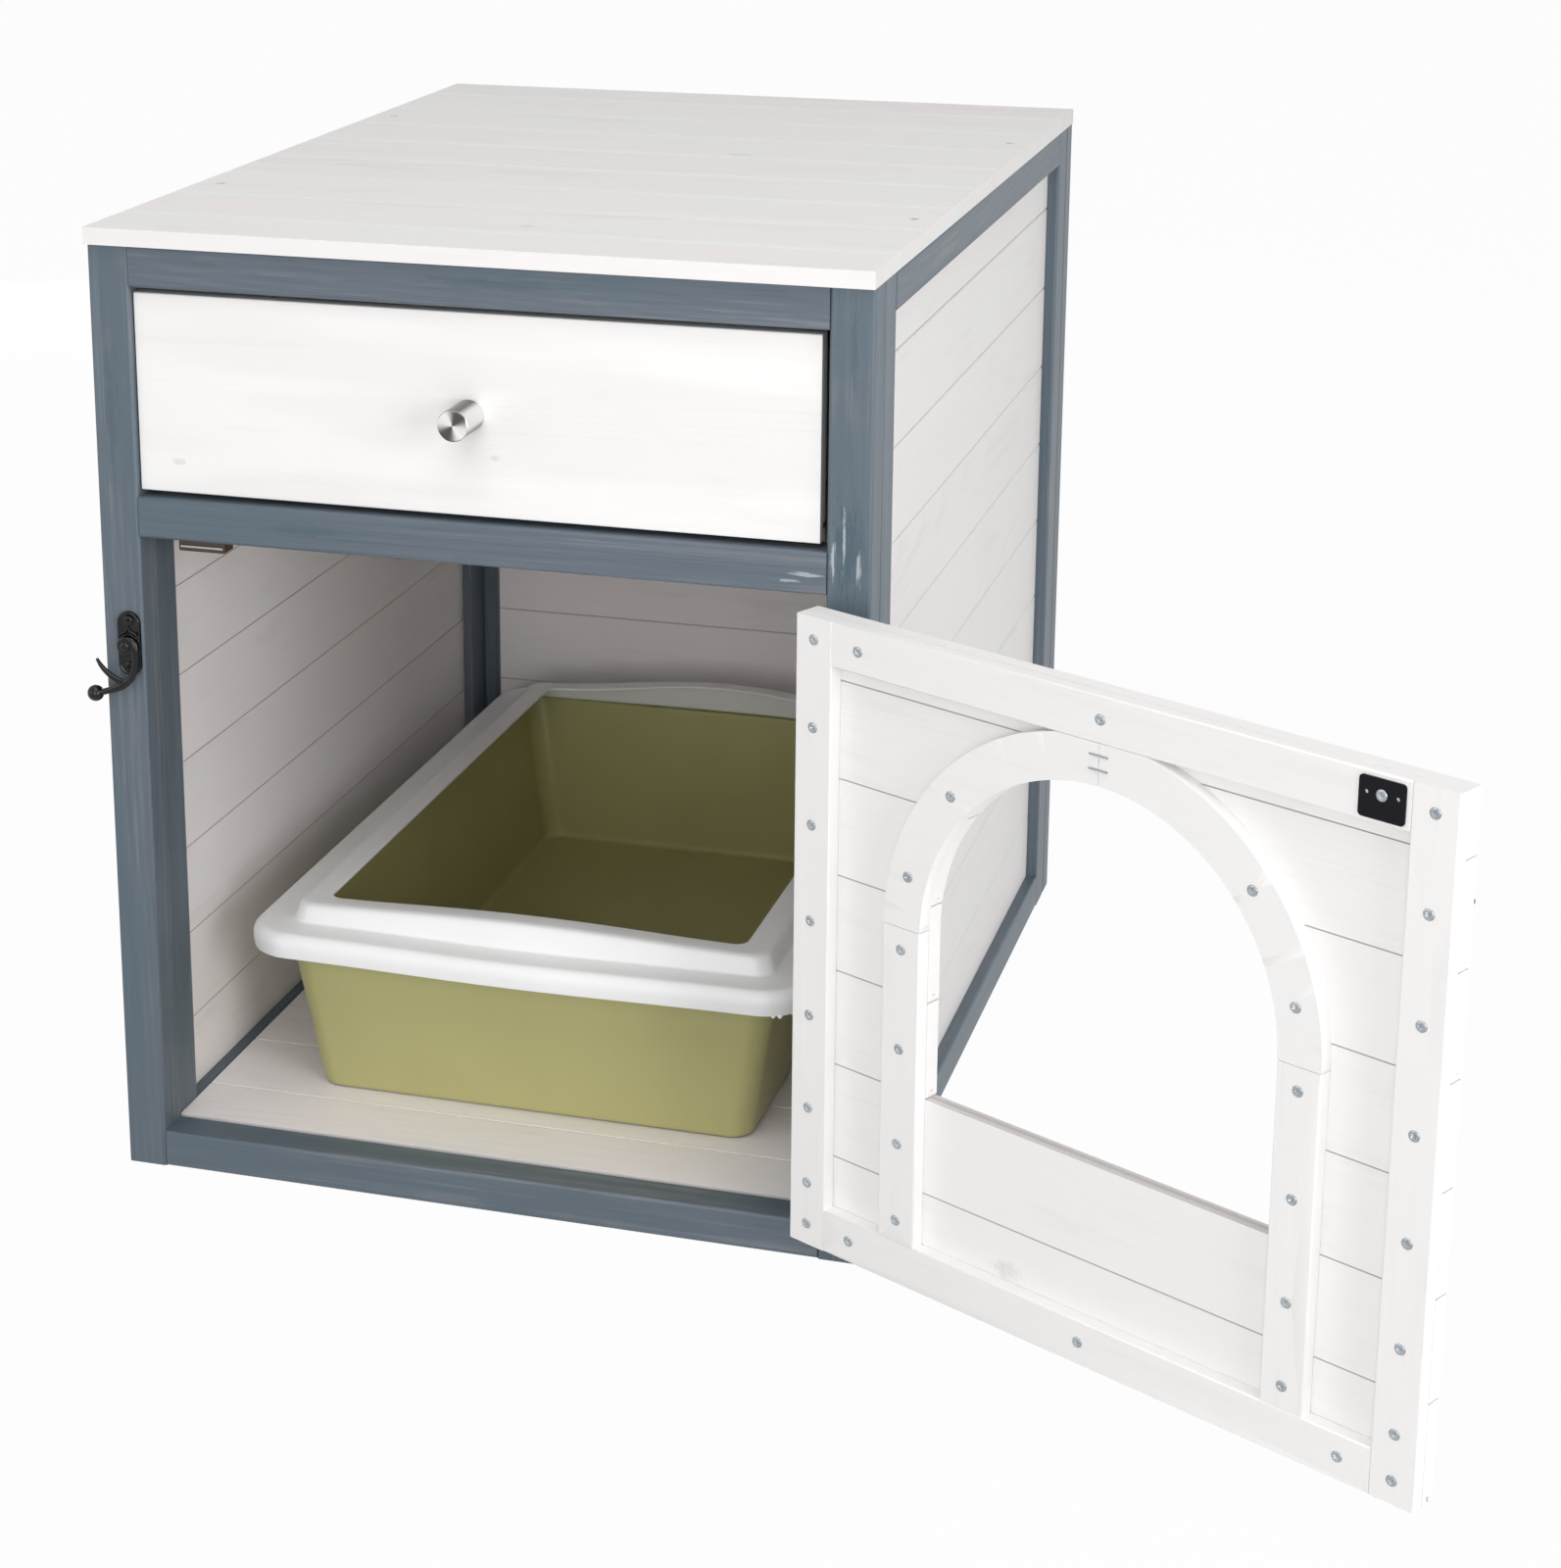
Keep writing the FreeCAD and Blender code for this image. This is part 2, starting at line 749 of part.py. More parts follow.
def screws(name, spots, inward, play="0", deep="screw_head_deep"):
    """Heads with their flat faces at the spots. With a play they are the seats to cut."""
    heads = []
    for number, spot in enumerate(spots, start=1):
        head = doc.addObject("Part::Cone", f"{name}_{number}")
        bind(head, "Radius1", f"screw_head_wide / 2 + {play}")
        bind(head, "Radius2", f"screw_neck_wide / 2 + {play}")
        bind(head, "Height", f"{deep} + {play}")
        head.Placement.Rotation = FreeCAD.Rotation(FreeCAD.Vector(0, 0, 1), inward)
        place_at(head, *spot)
        heads.append(head)
    item = doc.addObject("Part::Compound", name)
    item.Links = heads
    return item


# Drawer


def build_drawer():
    build_drawer_front()
    build_drawer_box()
    build_knob()


def drawer_panel_levels():
    low = f"({DRAWER_BOTTOM} + runner_play + drawer_panel_lift)"
    return low, f"({low} + drawer_panel_thick)"


def build_drawer_front():
    low, high = drawer_panel_levels()
    section = grooved(
        DRAWER_BOTTOM,
        DRAWER_TOP,
        DRAWER_FACE,
        DRAWER_BACK_FACE,
        f"{low} - groove_play",
        f"{high} + groove_play",
        f"{DRAWER_BACK_FACE} - drawer_groove_deep",
        swap=True,
    )
    label = "drawer_front"
    wide = f"{DRAWER_RIGHT} - {DRAWER_LEFT}"
    plain = bar(f"{label}_board", "x", section, DRAWER_LEFT, wide, "drawer_edge_round")
    hole = rod(
        "knob_screw_hole",
        "y",
        (DRAWER_MIDDLE, DRAWER_FACE, KNOB_UP),
        "knob_screw_wide / 2 + screw_play",
        "drawer_front_thick",
    )
    keep(cut(label, plain, hole), label)


def build_drawer_box():
    low, high = drawer_panel_levels()
    sides_low = f"({DRAWER_BOTTOM} + runner_play)"
    sides_high = f"({DRAWER_TOP} - drawer_side_drop)"
    inner_faces = {}
    sides = []
    for hand, edge, inward in (("left", DRAWER_LEFT, "+"), ("right", DRAWER_RIGHT, "-")):
        outer = f"({edge} {inward} drawer_side_step)"
        inner = f"({outer} {inward} drawer_side_thick)"
        inner_faces[hand] = inner
        section = grooved(
            sides_low,
            sides_high,
            outer,
            inner,
            f"{low} - groove_play",
            f"{high} + groove_play",
            f"{inner} {'-' if inward == '+' else '+'} drawer_groove_deep",
            swap=True,
        )
        name = f"drawer_side_{hand}"
        sides.append(bar(name, "y", section, DRAWER_BACK_FACE, "drawer_box_deep", "drawer_edge_round"))
    group("drawer_sides", sides)

    back_front = f"({DRAWER_END} - drawer_side_thick)"
    section = grooved(
        sides_low,
        sides_high,
        DRAWER_END,
        back_front,
        f"{low} - groove_play",
        f"{high} + groove_play",
        f"{back_front} + drawer_groove_deep",
        swap=True,
    )
    width = f"{inner_faces['right']} - {inner_faces['left']}"
    keep(bar("drawer_back", "x", section, inner_faces["left"], width, None), "drawer_back")

    panel = block(
        "drawer_bottom",
        f"({inner_faces['left']} - drawer_panel_reach)",
        f"({inner_faces['right']} + drawer_panel_reach)",
        f"({DRAWER_BACK_FACE} - drawer_panel_reach)",
        f"({back_front} + drawer_panel_reach)",
        low,
        high,
    )
    keep(panel, "drawer_bottom")

    runners = []
    for hand, edge, inward in (("left", DRAWER_LEFT, "+"), ("right", DRAWER_RIGHT, "-")):
        outer = f"({edge} {inward} drawer_side_step)"
        middle = f"({outer} {inward} drawer_side_thick / 2)"
        section = oblong(
            f"{middle} - runner_wide / 2", f"{middle} + runner_wide / 2", SHELF_TOP, DRAWER_BOTTOM
        )
        run = f"{REAR_INSIDE} - {BEHIND_FRONT} - 2 * floor_rear_gap"
        start = f"{BEHIND_FRONT} + floor_rear_gap"
        runners.append(bar(f"drawer_runner_{hand}", "y", section, start, run, None))
    group("drawer_runners", runners)


def build_knob():
    turned = doc.addObject("PartDesign::Body", "drawer_knob_turned")
    sketch = sketch_on(turned, "XY_Plane")
    radius = "knob_wide / 2"
    corners = [
        ("0", "0"),
        (f"{radius} - knob_chamfer", "0"),
        (radius, "knob_chamfer"),
        (radius, "knob_long - knob_chamfer"),
        (f"{radius} - knob_chamfer", "knob_long"),
        ("0", "knob_long"),
    ]
    closed_outline(sketch, corners)
    turn = turned.newObject("PartDesign::Revolution", "drawer_knob_turn")
    turn.Profile = sketch
    turn.ReferenceAxis = (sketch, ["V_Axis"])
    turn.Angle = 360
    place_at(turned, DRAWER_MIDDLE, f"{DRAWER_FACE} - knob_long", KNOB_UP)
    hole = rod(
        "knob_bore",
        "y",
        (DRAWER_MIDDLE, f"{DRAWER_FACE} - knob_screw_bite - screw_play", KNOB_UP),
        "knob_screw_wide / 2 + screw_play",
        "knob_screw_bite + screw_play",
    )
    keep(cut("drawer_knob", turned, hole), "drawer_knob")
    shank = rod(
        "knob_screw_shank",
        "y",
        (DRAWER_MIDDLE, f"{DRAWER_FACE} - knob_screw_bite", KNOB_UP),
        "knob_screw_wide / 2",
        "knob_screw_bite + drawer_front_thick + knob_screw_head_tall / 2",
    )
    head = rod(
        "knob_screw_head",
        "y",
        (DRAWER_MIDDLE, DRAWER_BACK_FACE, KNOB_UP),
        "knob_screw_head_wide / 2",
        "knob_screw_head_tall",
    )
    keep(fuse("knob_screw", [shank, head]), "knob_screw")


# Door, modelled shut


def hang(label, members):
    """Groups pieces of the door as one sub-part, and swings it open about the hinge pins."""
    item = group(label, members)
    item.Placement.Rotation = FreeCAD.Rotation(FreeCAD.Vector(0, 0, 1), 1)
    bind(item, "Placement.Rotation.Angle", "door_open_angle")
    cosine, sine = "cos(door_open_angle)", "sin(door_open_angle)"
    place_at(
        item,
        f"{PIVOT_ACROSS} * (1 - {cosine}) + {PIVOT_FRONT} * {sine}",
        f"{PIVOT_FRONT} * (1 - {cosine}) - {PIVOT_ACROSS} * {sine}",
        "0",
    )
    return item


def door_screw_spots():
    """Where the inner frame, legs and arch are screwed to the boards."""
    boards = int(worth(f"({DOOR_TOP} - door_first_seam) / door_board_pitch"))
    board_middles = [
        f"door_first_seam + door_board_pitch * ({number} + 1 / 2)" for number in range(boards)
    ]
    stile_ups = [
        f"{DOOR_BOTTOM} + stile_screw_end",
        f"{DOOR_BOTTOM} + stile_screw_second",
        *board_middles,
        f"{DOOR_TOP} - stile_screw_end",
    ]
    leg_ups = [
        f"{DOOR_BOTTOM} + door_bar_wide + stile_screw_end",
        *board_middles[:2],
        f"{ARCH_UP} - stile_screw_end",
    ]
    near_hinges = f"{DOOR_HINGE_EDGE} - rail_screw_end"
    rail_up = f"{DOOR_TOP} - door_bar_wide / 2"
    places = {
        "door_hinge_stile": [(f"{DOOR_HINGE_EDGE} - door_bar_wide / 2", up) for up in stile_ups],
        "door_free_stile": [(f"{DOOR_FREE_EDGE} + door_bar_wide / 2", up) for up in stile_ups],
        "door_top_rail": [(across, rail_up) for across in (near_hinges, DOOR_MIDDLE)],
        "door_bottom_rail": [
            (across, f"{DOOR_BOTTOM} + door_bar_wide / 2")
            for across in (near_hinges, DOOR_MIDDLE, f"{DOOR_FREE_EDGE} + rail_screw_end")
        ],
    }
    band = f"({ARCH_INNER} + arch_band_wide / 2)"
    for hand, sign in (("hinge", "+"), ("free", "-")):
        places[f"arch_{hand}_leg"] = [(f"{DOOR_MIDDLE} {sign} {band}", up) for up in leg_ups]
        places[f"arch_{hand}_half"] = [
            (f"{DOOR_MIDDLE} {sign} {band} * cos({angle})", f"{ARCH_UP} + {band} * sin({angle})")
            for angle in ("arch_screw_low_angle", "arch_screw_high_angle")
        ]
    return {
        label: [(across, DOOR_INNER_FACE, up) for across, up in spots] for label, spots in places.items()
    }


def build_door():
    spots = door_screw_spots()

    def fasten(label, piece):
        seats = screws(f"{label}_seats", spots[label], OUTWARD, "screw_play")
        hang(label, [cut(f"{label}_drilled", piece, seats)])

    build_door_boards()
    build_door_frame(fasten)
    build_arch(fasten)
    build_staples()
    everywhere = [spot for places in spots.values() for spot in places]
    hang("door_screws", [screws("door_screw_heads", everywhere, OUTWARD)])


def opening_tool():
    """The way in for the cat: straight sides from the sill, and a round head."""
    left = f"({DOOR_MIDDLE} - {ARCH_INNER})"
    right = f"({DOOR_MIDDLE} + {ARCH_INNER})"
    straight = block("opening_straight", left, right, FRONT, DOOR_INNER_FACE, SILL, ARCH_UP)
    head = rod(
        "opening_head",
        "y",
        (DOOR_MIDDLE, FRONT, ARCH_UP),
        ARCH_INNER,
        "door_board_thick + door_bar_thick",
    )
    head.Angle = 180
    head.Placement.Rotation = FreeCAD.Rotation(FreeCAD.Vector(0, 1, 0), 180).multiply(TURNS["y"])
    return fuse("opening", [straight, head])


def build_door_boards():
    start = "(door_first_seam - door_board_pitch)"
    section = board_section(
        FRONT, "+", "door_board_thick", start, "door_board_pitch", "seam_chamfer"
    )
    count = f"ceil(({DOOR_TOP} - {start}) / door_board_pitch)"
    field = (DOOR_FREE_EDGE, DOOR_HINGE_EDGE, FRONT, DOOR_SEAT, DOOR_BOTTOM, DOOR_TOP)
    stack = board_stack(
        "door_board_stack",
        "x",
        section,
        "door_board_pitch",
        "V_Axis",
        count,
        DOOR_FREE_EDGE,
        DOOR_WIDE,
        field,
    )
    pierced = cut("door_boards_pierced", stack, opening_tool())
    hang("door_boards", [cut("door_boards_drilled", pierced, keeper_hole())])


def build_door_frame(fasten):
    edge = "drawer_edge_round"
    stiles = {
        "door_hinge_stile": (f"{DOOR_HINGE_EDGE} - door_bar_wide", DOOR_HINGE_EDGE),
        "door_free_stile": (DOOR_FREE_EDGE, f"{DOOR_FREE_EDGE} + door_bar_wide"),
    }
    for label, (left, right) in stiles.items():
        section = oblong(left, right, DOOR_SEAT, DOOR_INNER_FACE)
        tall = f"{DOOR_TOP} - {DOOR_BOTTOM}"
        fasten(label, bar(f"{label}_bar", "z", section, DOOR_BOTTOM, tall, edge))
    rails = {
        "door_bottom_rail": (DOOR_BOTTOM, f"{DOOR_BOTTOM} + door_bar_wide"),
        "door_top_rail": (f"{DOOR_TOP} - door_bar_wide", DOOR_TOP),
    }
    for label, (low, high) in rails.items():
        section = oblong(DOOR_SEAT, DOOR_INNER_FACE, low, high)
        left = f"{DOOR_FREE_EDGE} + door_bar_wide"
        wide = f"{DOOR_WIDE} - 2 * door_bar_wide"
        fasten(label, bar(f"{label}_bar", "x", section, left, wide, edge))


def build_arch(fasten):
    """Two legs and two quarter rings frame the opening. The rings are cut flat under the rail."""
    rail_under = f"({DOOR_TOP} - door_bar_wide)"
    leg_low = f"({DOOR_BOTTOM} + door_bar_wide)"
    for hand, sign in (("hinge", "+"), ("free", "-")):
        near = f"({DOOR_MIDDLE} {sign} {ARCH_INNER})"
        far = f"({DOOR_MIDDLE} {sign} {ARCH_OUTER})"
        section = oblong(near, far, DOOR_SEAT, DOOR_INNER_FACE)
        leg_long = f"{ARCH_UP} - {leg_low}"
        leg = bar(f"arch_{hand}_leg_bar", "z", section, leg_low, leg_long, "drawer_edge_round")
        fasten(f"arch_{hand}_leg", leg)

        centre = (DOOR_MIDDLE, DOOR_SEAT, ARCH_UP)
        disc = rod(f"arch_{hand}_disc", "y", centre, ARCH_OUTER, "door_bar_thick")
        bore = rod(f"arch_{hand}_bore", "y", centre, ARCH_INNER, "door_bar_thick")
        ring = cut(f"arch_{hand}_ring", disc, bore)
        joint = f"({DOOR_MIDDLE} {sign} arch_joint_gap / 2)"
        left, right = (joint, far) if sign == "+" else (far, joint)
        quarter = block(
            f"arch_{hand}_field",
            left,
            right,
            DOOR_SEAT,
            DOOR_INNER_FACE,
            f"({ARCH_UP} + arch_joint_gap)",
            rail_under,
        )
        fasten(f"arch_{hand}_half", common(f"arch_{hand}_quarter", ring, quarter))


def build_staples():
    """Two staples across the joint at the top of the arch. Only their crowns show."""
    staples = []
    for number in (0, 1):
        up = f"{DOOR_TOP} - door_bar_wide - staple_top_drop - {number} * staple_spacing"
        crown = block(
            f"staple_{number}_crown",
            f"({DOOR_MIDDLE} - staple_wide / 2)",
            f"({DOOR_MIDDLE} + staple_wide / 2)",
            DOOR_INNER_FACE,
            f"({DOOR_INNER_FACE} + staple_wire)",
            f"({up} - staple_wire / 2)",
            f"({up} + staple_wire / 2)",
        )
        staples.append(crown)
    hang("arch_staples", staples)


def build_strike():
    """Steel plate for the magnet, beside the free stile on the top rail."""
    top = f"({DOOR_TOP} - strike_edge_gap)"
    section = oblong(STRIKE_LEFT, f"{STRIKE_LEFT} + strike_wide", f"{top} - strike_tall", top)
    plate = doc.addObject("PartDesign::Body", "strike_blank")
    sketch = sketch_on(plate, "XZ_Plane")
    closed_outline(sketch, section)
    pad = plate.newObject("PartDesign::Pad", "strike_thickness")
    pad.Profile = sketch
    pad.Reversed = True
    bind(pad, "Length", "strike_thick")
    bind(plate, "Placement.Base.y", DOOR_INNER_FACE)
    doc.recompute()
    corners = plate.newObject("PartDesign::Fillet", "strike_corners")
    corners.Base = (pad, long_corner_edges(pad.Shape, "y"))
    bind(corners, "Radius", "strike_corner")
    middle_up = f"{top} - strike_tall / 2 + strike_corner"
    across = f"{STRIKE_LEFT} + strike_wide / 2"
    hole = rod(
        "strike_hole",
        "y",
        (across, DOOR_INNER_FACE, middle_up),
        "screw_neck_wide / 2 + screw_play",
        "strike_thick",
    )
    side_holes = [
        rod(
            f"strike_side_hole_{hand}",
            "y",
            (f"{across} {sign} strike_side_hole_reach", DOOR_INNER_FACE, middle_up),
            "strike_side_hole_wide / 2",
            "strike_thick",
        )
        for hand, sign in (("right", "+"), ("left", "-"))
    ]
    hang("strike_plate", [cut("strike_drilled", plate, fuse("strike_holes", [hole, *side_holes]))])
    neck = rod(
        "strike_screw_neck",
        "y",
        (across, DOOR_INNER_FACE, middle_up),
        "screw_neck_wide / 2",
        "strike_thick + strike_screw_proud / 2",
    )
    head = rod(
        "strike_screw_head",
        "y",
        (across, f"{DOOR_INNER_FACE} + strike_thick", middle_up),
        "screw_head_wide / 2",
        "strike_screw_proud",
    )
    hang("strike_screw", [fuse("strike_screw_solid", [neck, head])])


# Butt hinges: frame leaf with two knuckles, door leaf with one, and a pin


def knuckle(name, low, high):
    return rod(name, "z", (PIVOT_ACROSS, PIVOT_FRONT, low), "knuckle_wide / 2", f"{high} - {low}")


def hinge_leaf(name, side, runs, low, high):
    """A leaf flat on the wood, rolled round the pin over the runs and cut back elsewhere."""
    near = f"({PIVOT_ACROSS} {side} hinge_leaf_thick)"
    clear = f"({PIVOT_ACROSS} {side} {HINGE_CLEAR})"
    far = f"({PIVOT_ACROSS} {side} hinge_leaf_wide)"
    face = f"({FRONT} - hinge_leaf_thick)"

    def strip(part, start, end, bottom, top):
        left, right = (start, end) if side == "+" else (end, start)
        return block(f"{name}_{part}", left, right, face, FRONT, bottom, top)

    members = [strip("plate", clear, far, low, high)]
    for number, (bottom, top) in enumerate(runs):
        members.append(strip(f"web_{number}", near, clear, bottom, top))
        members.append(knuckle(f"{name}_knuckle_{number}", bottom, top))
    bore = rod(
        f"{name}_bore",
        "z",
        (PIVOT_ACROSS, PIVOT_FRONT, low),
        "hinge_pin_wide / 2 + hinge_pin_play",
        f"{high} - {low}",
    )
    return cut(f"{name}_bored", fuse(f"{name}_solid", members), bore)


def hinge_screw_spots(side):
    across = f"{PIVOT_ACROSS} {side} ({HINGE_CLEAR} + hinge_leaf_wide) / 2"
    reach = "(hinge_tall / 2 - hinge_screw_from_end)"
    return [
        (across, f"{FRONT} - hinge_leaf_thick", f"{middle} + ({end}) * {reach}")
        for middle in HINGE_UPS.values()
        for end in ("-1", "0", "1")
    ]


def build_hinges():
    frame_leaves, door_leaves, pins = [], [], []
    for spot, middle in HINGE_UPS.items():
        low = f"({middle} - hinge_tall / 2)"
        high = f"({middle} + hinge_tall / 2)"
        middle_low = f"({middle} - knuckle_middle_tall / 2)"
        middle_high = f"({middle} + knuckle_middle_tall / 2)"
        outer_runs = [(low, f"({middle_low} - knuckle_gap)"), (f"({middle_high} + knuckle_gap)", high)]
        frame_leaves.append(hinge_leaf(f"{spot}_frame_leaf", "+", outer_runs, low, high))
        door_leaves.append(
            hinge_leaf(f"{spot}_door_leaf", "-", [(middle_low, middle_high)], low, high)
        )
        foot, crown = (PIVOT_ACROSS, PIVOT_FRONT, low), (PIVOT_ACROSS, PIVOT_FRONT, high)
        pin = rod(f"{spot}_pin", "z", foot, "hinge_pin_wide / 2", "hinge_tall")
        head = rod(f"{spot}_pin_head", "z", crown, "knuckle_wide / 2", "hinge_pin_head_tall")
        pins.append(fuse(f"{spot}_pin_solid", [pin, head]))
    group("hinge_pins", pins)
    frame_blank = doc.addObject("Part::Compound", "frame_leaf_blanks")
    frame_blank.Links = frame_leaves
    door_blank = doc.addObject("Part::Compound", "door_leaf_blanks")
    door_blank.Links = door_leaves

    def leaf_screws(name, side, play="0"):
        return screws(name, hinge_screw_spots(side), INWARD, play, "hinge_leaf_thick")

    frame_seats = leaf_screws("frame_leaf_seats", "+", "screw_play")
    keep(cut("hinge_frame_leaves", frame_blank, frame_seats), "hinge_frame_leaves")
    keep(leaf_screws("frame_leaf_screw_heads", "+"), "hinge_frame_screws")
    door_seats = leaf_screws("door_leaf_seats", "-", "screw_play")
    hang("hinge_door_leaves", [cut("door_leaves_drilled", door_blank, door_seats)])
    hang("hinge_door_screws", [leaf_screws("door_leaf_screw_heads", "-")])


# Magnetic catch under the shelf's front cleat


def build_catch():
    top = f"({SHELF_UNDER} - shelf_cleat_side)"
    bottom = f"({top} - catch_tall)"
    left = f"({CATCH_MIDDLE} - catch_wide / 2)"
    right = f"({CATCH_MIDDLE} + catch_wide / 2)"
    back = f"({CATCH_FACE} + catch_deep)"
    case = block("catch_case", left, right, CATCH_FACE, back, bottom, top)
    ear_front = f"({BEHIND_FRONT} + catch_plate_thick)"
    ears = block(
        "catch_ears",
        f"({left} - catch_ear_wide)",
        f"({right} + catch_ear_wide)",
        ear_front,
        back,
        f"({top} - catch_ear_thick)",
        top,
    )
    slots, plates = [], []
    near, far = f"({left} + catch_plate_thick)", f"({right} - catch_plate_thick)"
    deep = f"({back} - catch_plate_thick)"
    proud = f"({CATCH_FACE} - catch_plate_proud)"
    for hand, share in (("low", "1 / 4"), ("high", "3 / 4")):
        middle = f"({bottom} + catch_tall * {share})"
        low, high = f"({middle} - catch_plate_thick / 2)", f"({middle} + catch_plate_thick / 2)"
        slots.append(block(f"catch_slot_{hand}", near, far, CATCH_FACE, deep, low, high))
        plates.append(block(f"catch_plate_{hand}", near, far, proud, deep, low, high))
    housing = cut("catch_housing", fuse("catch_block", [case, ears]), fuse("catch_slots", slots))
    keep(housing, "catch_housing")
    group("catch_magnet_plates", plates)


# Swing latch on the left stile, and its keeper on the door


def build_latch():
    plate = doc.addObject("PartDesign::Body", "latch_plate_cast")
    sketch = sketch_on(plate, "XZ_Plane")
    slot_outline(sketch, "latch_plate_wide / 2", "(latch_plate_tall - latch_plate_wide) / 2")
    pad = plate.newObject("PartDesign::Pad", "latch_plate_thickness")
    pad.Profile = sketch
    bind(pad, "Length", "latch_plate_thick")
    place_at(plate, LATCH_ACROSS, FRONT, LATCH_UP)
    doc.recompute()
    front_edges = [
        f"Edge{number}"
        for number, edge in enumerate(pad.Shape.Edges, start=1)
        if all(abs(corner.Y + size("latch_plate_thick")) < TOUCH for corner in edge.Vertexes)
    ]
    eased = plate.newObject("PartDesign::Fillet", "latch_plate_eased")
    eased.Base = (pad, front_edges)
    bind(eased, "Radius", "latch_plate_round")
    boss = rod(
        "latch_plate_boss",
        "y",
        (LATCH_ACROSS, f"{LATCH_ARM_BACK} + latch_arm_play", LATCH_UP),
        "latch_rivet_head_wide / 2",
        "latch_stand_off - latch_arm_play",
    )
    rivet = rod(
        "latch_rivet_shank",
        "y",
        (LATCH_ACROSS, f"{LATCH_ARM_BACK} - latch_arm_thick - latch_arm_play", LATCH_UP),
        "latch_rivet_wide / 2",
        "latch_arm_thick + 2 * latch_arm_play",
    )
    front = f"{LATCH_ARM_BACK} - latch_arm_thick - latch_arm_play - latch_rivet_head_tall"
    head = rod(
        "latch_rivet_head",
        "y",
        (LATCH_ACROSS, front, LATCH_UP),
        "latch_rivet_head_wide / 2",
        "latch_rivet_head_tall",
    )
    riveted = fuse("latch_plate_riveted", [plate, boss, rivet, head])
    spots = [
        (LATCH_ACROSS, f"{FRONT} - latch_plate_thick", f"{LATCH_UP} + ({end}) * latch_screw_spacing / 2")
        for end in ("-1", "1")
    ]
    seats = screws("latch_screw_seats", spots, INWARD, "screw_play")
    keep(cut("latch_plate", riveted, seats), "latch_plate")
    keep(screws("latch_screw_heads", spots, INWARD), "latch_screws")
    build_latch_arm()
    build_keeper()


def slot_outline(sketch, radius, reach):
    """An oblong with round ends, its middle at the sketch's origin."""
    start, end = FreeCAD.Vector(1, 1, 0), FreeCAD.Vector(1, -1, 0)
    axis = FreeCAD.Vector(0, 0, 1)
    upper = Part.ArcOfCircle(Part.Circle(FreeCAD.Vector(0, 1, 0), axis, 1), 0, math.pi)
    lower = Part.ArcOfCircle(Part.Circle(FreeCAD.Vector(0, -1, 0), axis, 1), math.pi, 2 * math.pi)
    right = Part.LineSegment(end, start)
    left = Part.LineSegment(FreeCAD.Vector(-1, 1, 0), FreeCAD.Vector(-1, -1, 0))
    sketch.addGeometry([upper, left, lower, right])
    sketch.addConstraint(
        [
            Sketcher.Constraint("Tangent", 0, 2, 1, 1),
            Sketcher.Constraint("Tangent", 1, 2, 2, 1),
            Sketcher.Constraint("Tangent", 2, 2, 3, 1),
            Sketcher.Constraint("Tangent", 3, 2, 0, 1),
            Sketcher.Constraint("PointOnObject", 0, 3, -2),
            Sketcher.Constraint("Symmetric", 0, 3, 2, 3, -1, 1),
            Sketcher.Constraint("Equal", 0, 2),
        ]
    )
    spot = sketch.addConstraint(Sketcher.Constraint("Radius", 0, 1))
    bind(sketch, f"Constraints[{spot}]", radius)
    spot = sketch.addConstraint(Sketcher.Constraint("DistanceY", -1, 1, 0, 3, 1))
    bind(sketch, f"Constraints[{spot}]", reach)


def build_latch_arm():
    """A boss, a crescent that tapers down to a ball, and a prong round the pivot."""
    front = f"({LATCH_ARM_BACK} - latch_arm_thick)"
    thick = "latch_arm_thick"

    def disc(name, across, drop, radius):
        start = (f"{LATCH_ACROSS} - {across}", front, f"{LATCH_UP} - {drop}")
        return rod(name, "y", start, radius, thick)

    boss = disc("latch_boss", "0", "0", "latch_boss_wide / 2")
    outer = disc("latch_outer", "latch_outer_across", "latch_outer_drop", "latch_outer_radius")
    inner = disc("latch_inner", "latch_inner_across", "latch_inner_drop", "latch_inner_radius")
    lune = cut("latch_lune", outer, inner)
    field = block(
        "latch_lune_field",
        f"({LATCH_ACROSS} - latch_ball_across + latch_ball_wide / 4)",
        f"({LATCH_ACROSS} + latch_outer_radius)",
        front,
        LATCH_ARM_BACK,
        f"({LATCH_UP} - latch_ball_drop - latch_ball_wide)",
        LATCH_UP,
    )
    crescent = common("latch_crescent", lune, field)
    prong_out = disc("latch_prong_out", "0", "0", "latch_prong_radius + latch_prong_wide / 2")
    prong_in = disc("latch_prong_in", "0", "0", "latch_prong_radius - latch_prong_wide / 2")
    bind(prong_out, "Angle", "latch_prong_end - latch_prong_start")
    turn = FreeCAD.Rotation(FreeCAD.Vector(0, 1, 0), -size("latch_prong_end"))
    prong_out.Placement.Rotation = turn.multiply(TURNS["y"])
    prong = cut("latch_prong", prong_out, prong_in)
    ball = doc.addObject("Part::Sphere", "latch_ball")
    bind(ball, "Radius", "latch_ball_wide / 2")
    ball.Placement.Rotation = TURNS["y"]
    place_at(
        ball,
        f"{LATCH_ACROSS} - latch_ball_across",
        f"{front} + {thick} / 2",
        f"{LATCH_UP} - latch_ball_drop",
    )
    solid = fuse("latch_arm_cast", [boss, crescent, ball])
    bore = rod(
        "latch_arm_bore",
        "y",
        (LATCH_ACROSS, front, LATCH_UP),
        "latch_rivet_wide / 2 + hinge_pin_play",
        thick,
    )
    keep(cut("latch_arm", fuse("latch_arm_solid", [solid, prong]), bore), "latch_arm")


def keeper_hole():
    return rod(
        "keeper_hole",
        "y",
        (KEEPER_ACROSS, FRONT, LATCH_UP),
        "screw_neck_wide / 2 + screw_play",
        "keeper_bite + screw_play",
    )


